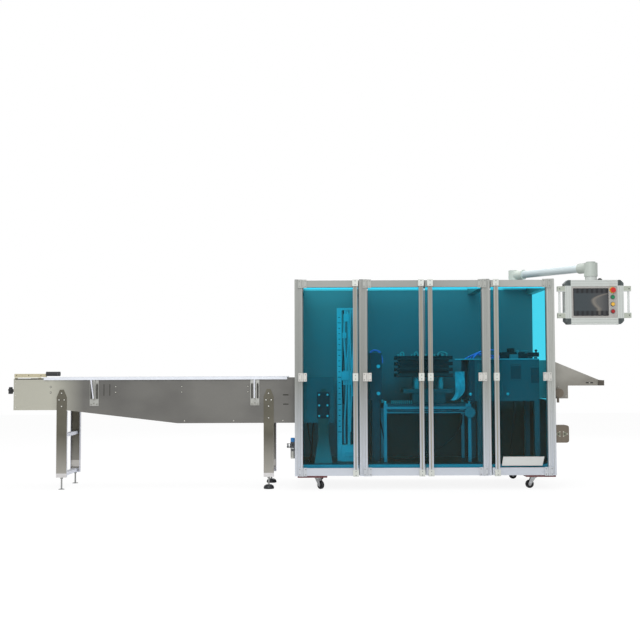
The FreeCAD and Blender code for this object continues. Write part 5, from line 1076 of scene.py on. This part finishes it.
class PACKER_OT_outlets(PackerPiece, bpy.types.Operator):
    """Adds two outlets on the socket box, and the chute's slot bolts and edge screws"""

    bl_idname = "packer.outlets"
    bl_label = "Outlets and chute bolts"

    def build(self):
        body = moulded("outlet_body", tone(126, 126, 110), 0.5)
        # Painted shade: dark discs in the outlets' holes and dark slots on the chute.
        shaded_hole = drifting("outlet_hole", tone(40, 38, 36), 0.6, 0.3, 0.01)
        pin = painted("outlet_pin", tone(196, 196, 184), 0.4)
        places = [(2004, 20, 415), (2051, 20, 415)]
        flange = [(14, 0), (15.5, 0.6), (15.5, 1.8), (14, 2.6), (11, 2.6), (10, 1.8)]
        joined(heads(flange, places, steps=32)).make("outlets", body, "black_plastic")
        dots = heads([(5.2, 0), (5.6, 2.8), (5.2, 3.2)], places)
        slots = [
            block((2260, 151.6, 802), (20, 8, 1), radius=3, soft=0.2),
            block((2296, 151.6, 802), (16, 8, 1), radius=3, soft=0.2),
        ]
        joined(dots, slots).make("outlet_holes", shaded_hole, "black_plastic")
        pins = []
        for x, turns in ((2004, (60, 300, 180)), (2051, (0, 120, 240))):
            for turn in turns:
                a = radians(turn)
                centre = (x + 19 * cos(a), 20, 415 + 19 * sin(a))
                pins.append(block(centre, (8, 8, 1.4), radius=3, soft=0.3))
        joined(pins).make("outlet_pins", pin, "zinc")
        bolt = worn("chute_bolt", tone(190, 188, 180), 0.5, 0.004, 0.24, 0.4)
        spots = [(2278, 150, 802), (2036, 150, 770), (2096, 150, 700)]
        joined(heads(HEX, spots, size=0.9, steps=6)).make("chute_bolts", bolt, "stainless", edge=20)


class PACKER_OT_regulator_trim(PackerPiece, bpy.types.Operator):
    """Adds the regulator's silver bands, bowl cage and knob ribs"""

    bl_idname = "packer.regulator_trim"
    bl_label = "Regulator trim"

    def build(self):
        silver = worn("gauge_silver", tone(206, 208, 208), 0.7, 0.008, 0.2, 0.34)
        band = [(17, 0), (18.2, 0.6), (18.2, 9), (17, 10)]
        rim = [(17, 0), (18.4, 0.6), (18.4, 3), (15, 4), (14.6, 2.6)]
        neck = [(17, 0), (17.8, 0.6), (17.8, 5), (17, 6)]
        rings = heads(band, [(-38, 30, 334)], (-1, 0, 0), steps=36)
        rings += heads(rim, [(-58, 30, 334)], (-1, 0, 0), steps=36)
        rings += heads(neck, [(-17, 30, 311)], UP, steps=36)
        joined(rings).make("gauge_bands", silver, "zinc")
        blue = moulded("knob_ribs", tone(34, 108, 170), 0.35)
        ribs = []
        for step in range(18):
            a = 2 * pi * step / 18
            away = (cos(a), sin(a), 0)
            centre = (-17 + 14.7 * cos(a), 30 + 14.7 * sin(a), 378)
            ribs.append(block(centre, (2.4, 26, 1.4), away, 0.8, 0.3))
        joined(ribs).make("knob_ribs", blue, "blue_plastic")
        cage = worn("bowl_cage", tone(150, 152, 150), 0.5, 0.008, 0.3, 0.44)
        bars = []
        for step in range(8):
            a = 2 * pi * (step + 0.5) / 8
            centre = (-17 + 15.8 * cos(a), 30 + 15.8 * sin(a), 280)
            bars.append(block(centre, (4, 56, 1.2), (cos(a), sin(a), 0), 1.5, 0.4))
        joined(bars).make("bowl_cage", cage, "zinc")


class PACKER_OT_caster_bolts(PackerPiece, bpy.types.Operator):
    """Adds the axle bolts of the casters' forks"""

    bl_idname = "packer.caster_bolts"
    bl_label = "Caster bolts"

    def build(self):
        zinc = worn("axle_zinc", tone(176, 178, 180), 0.7, 0.004, 0.24, 0.4)
        wheels = {
            "front_left": (194.8, 80.2, -135),
            "rear_left": (194.8, 780.2, -135),
            "front_right": (1794, 100, -90),
            "rear_right": (1794, 800, -90),
        }
        axle_height, reach = 31.5, 27
        for corner, (x, y, turn) in wheels.items():
            way = np.array([cos(radians(turn)), sin(radians(turn)), 0])
            stacks = []
            for side in (-1, 1):
                place = (x, y, axle_height) + side * way * reach
                stacks += heads(HEX, [place], side * way, 1.1, 6)
            joined(stacks).make(f"axle_bolts_{corner}", zinc, "zinc", f"fork_{corner}", 20)


class PACKER_OT_stage(PackerPiece, bpy.types.Operator):
    """Makes the pale floor, the studio lights and the camera"""

    bl_idname = "packer.stage"
    bl_label = "Stage"

    def build(self):
        self.floor()
        self.world()
        self.lamps()
        self.camera()

    def floor(self):
        """A flat square sheet just under the machine: point = (s, t, drop), with s and t each
        from -half to half, in metres."""
        half, drop = 14, -0.0006
        line = np.linspace(-half, half, 3)
        s, t = np.meshgrid(line, line, indexing="ij")
        points = np.stack([s, t, np.full_like(s, drop)], -1).reshape(-1, 3)
        i, j = np.meshgrid(np.arange(2), np.arange(2), indexing="ij")
        base = (i * 3 + j).ravel()
        faces = np.stack([base, base + 3, base + 4, base + 1], -1)
        mesh = bpy.data.meshes.new("floor")
        mesh.from_pydata(points.tolist(), [], faces.tolist())
        f = Finish("floor_paint", (0.86, 0.86, 0.86), 0.75)
        f.set(Base_Color=f.tint((0.86, 0.86, 0.86), f.noise(0.5), 0.02))
        seen = f.add("ShaderNodeLightPath", {}, {}, "Is Camera Ray")
        glow = f.add("ShaderNodeEmission", {}, {"Color": (1, 1, 1), "Strength": 1.045})
        f.blend(seen * 0.86, Value(f, f.shader.outputs[0]), glow)
        mesh.materials.append(f.material)
        placed("floor", mesh)

    def world(self):
        """White to the camera, also through clear sheets; softer as a light and in gloss."""
        world = bpy.data.worlds.new("studio")
        bpy.context.scene.world = world
        world.use_nodes = True
        tree = world.node_tree
        tree.nodes.clear()
        path = tree.nodes.new("ShaderNodeLightPath")
        strongest = tree.nodes.new("ShaderNodeMath")
        strongest.operation = "MAXIMUM"
        tree.links.new(path.outputs["Is Camera Ray"], strongest.inputs[0])
        tree.links.new(path.outputs["Is Transmission Ray"], strongest.inputs[1])
        level = tree.nodes.new("ShaderNodeMix")
        level.data_type = "FLOAT"
        tree.links.new(strongest.outputs[0], level.inputs[0])
        level.inputs[2].default_value = 0.62
        level.inputs[3].default_value = 1.0
        shade = tree.nodes.new("ShaderNodeBackground")
        shade.inputs["Color"].default_value = (1, 1, 1, 1)
        tree.links.new(level.outputs[0], shade.inputs["Strength"])
        out = tree.nodes.new("ShaderNodeOutputWorld")
        tree.links.new(shade.outputs[0], out.inputs[0])

    def lamps(self):
        """Three soft panels: one high in front, one over the roof and one from behind."""
        for name, place, aim, size, power in (
            ("front_panel", (-0.6, -6.5, 4.2), (0, 0, 0.7), 4.0, 190),
            ("top_panel", (0.6, -0.4, 5.2), (0.4, 0, 0.5), 4.5, 120),
            ("back_panel", (1.0, 5.5, 3.5), (0, 0, 0.8), 3.5, 90),
        ):
            light = bpy.data.lights.new(name, "AREA")
            light.shape = "SQUARE"
            light.size = size
            light.energy = power
            lamp = placed(name, light)
            way = mathutils.Vector(aim) - mathutils.Vector(place)
            lamp.location = place
            lamp.rotation_euler = way.to_track_quat("-Z", "Y").to_euler()
            lamp.visible_camera = False

    def camera(self):
        """The photograph's eye: 8 m in front of the doors, 0.9 m high, looking up a little."""
        lens = bpy.data.cameras.new("camera")
        lens.lens = 59.23
        lens.sensor_width = 36
        eye = placed("camera", lens)
        eye.location = (0.0219, -8.4313, 0.896)
        tilt = mathutils.Matrix.Rotation(radians(90 + 2.8), 4, "X")
        roll = mathutils.Matrix.Rotation(radians(-0.208), 4, "Z")
        eye.rotation_euler = (tilt @ roll).to_euler()
        bpy.context.scene.camera = eye
        bpy.context.scene.view_settings.view_transform = "Standard"


class PACKER_PT_sidebar(bpy.types.Panel):
    """Lists the pieces, their colours and their sizes"""

    bl_label = "Packing machine"
    bl_idname = "PACKER_PT_sidebar"
    bl_space_type = "VIEW_3D"
    bl_region_type = "UI"
    bl_category = "Packing machine"

    def draw(self, context):
        for group in (context.scene.packer_colours, context.scene.packer_sizes):
            box = self.layout.box()
            for name in group.__annotations__:
                box.prop(group, name)
        for piece in PIECES:
            self.layout.operator(piece.bl_idname)


PIECES = PackerPiece.__subclasses__()
CLASSES = [PackerColours, PackerSizes, *PIECES, PACKER_PT_sidebar]


def register():
    for c in CLASSES:
        bpy.utils.register_class(c)
    bpy.types.Scene.packer_colours = PointerProperty(type=PackerColours)
    bpy.types.Scene.packer_sizes = PointerProperty(type=PackerSizes)


def unregister():
    del bpy.types.Scene.packer_sizes
    del bpy.types.Scene.packer_colours
    for c in reversed(CLASSES):
        bpy.utils.unregister_class(c)


def main():
    """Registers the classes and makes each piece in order."""
    register()
    for piece in PIECES:
        getattr(bpy.ops.packer, piece.bl_idname.split(".")[1])()


if __name__ == "__main__":
    main()
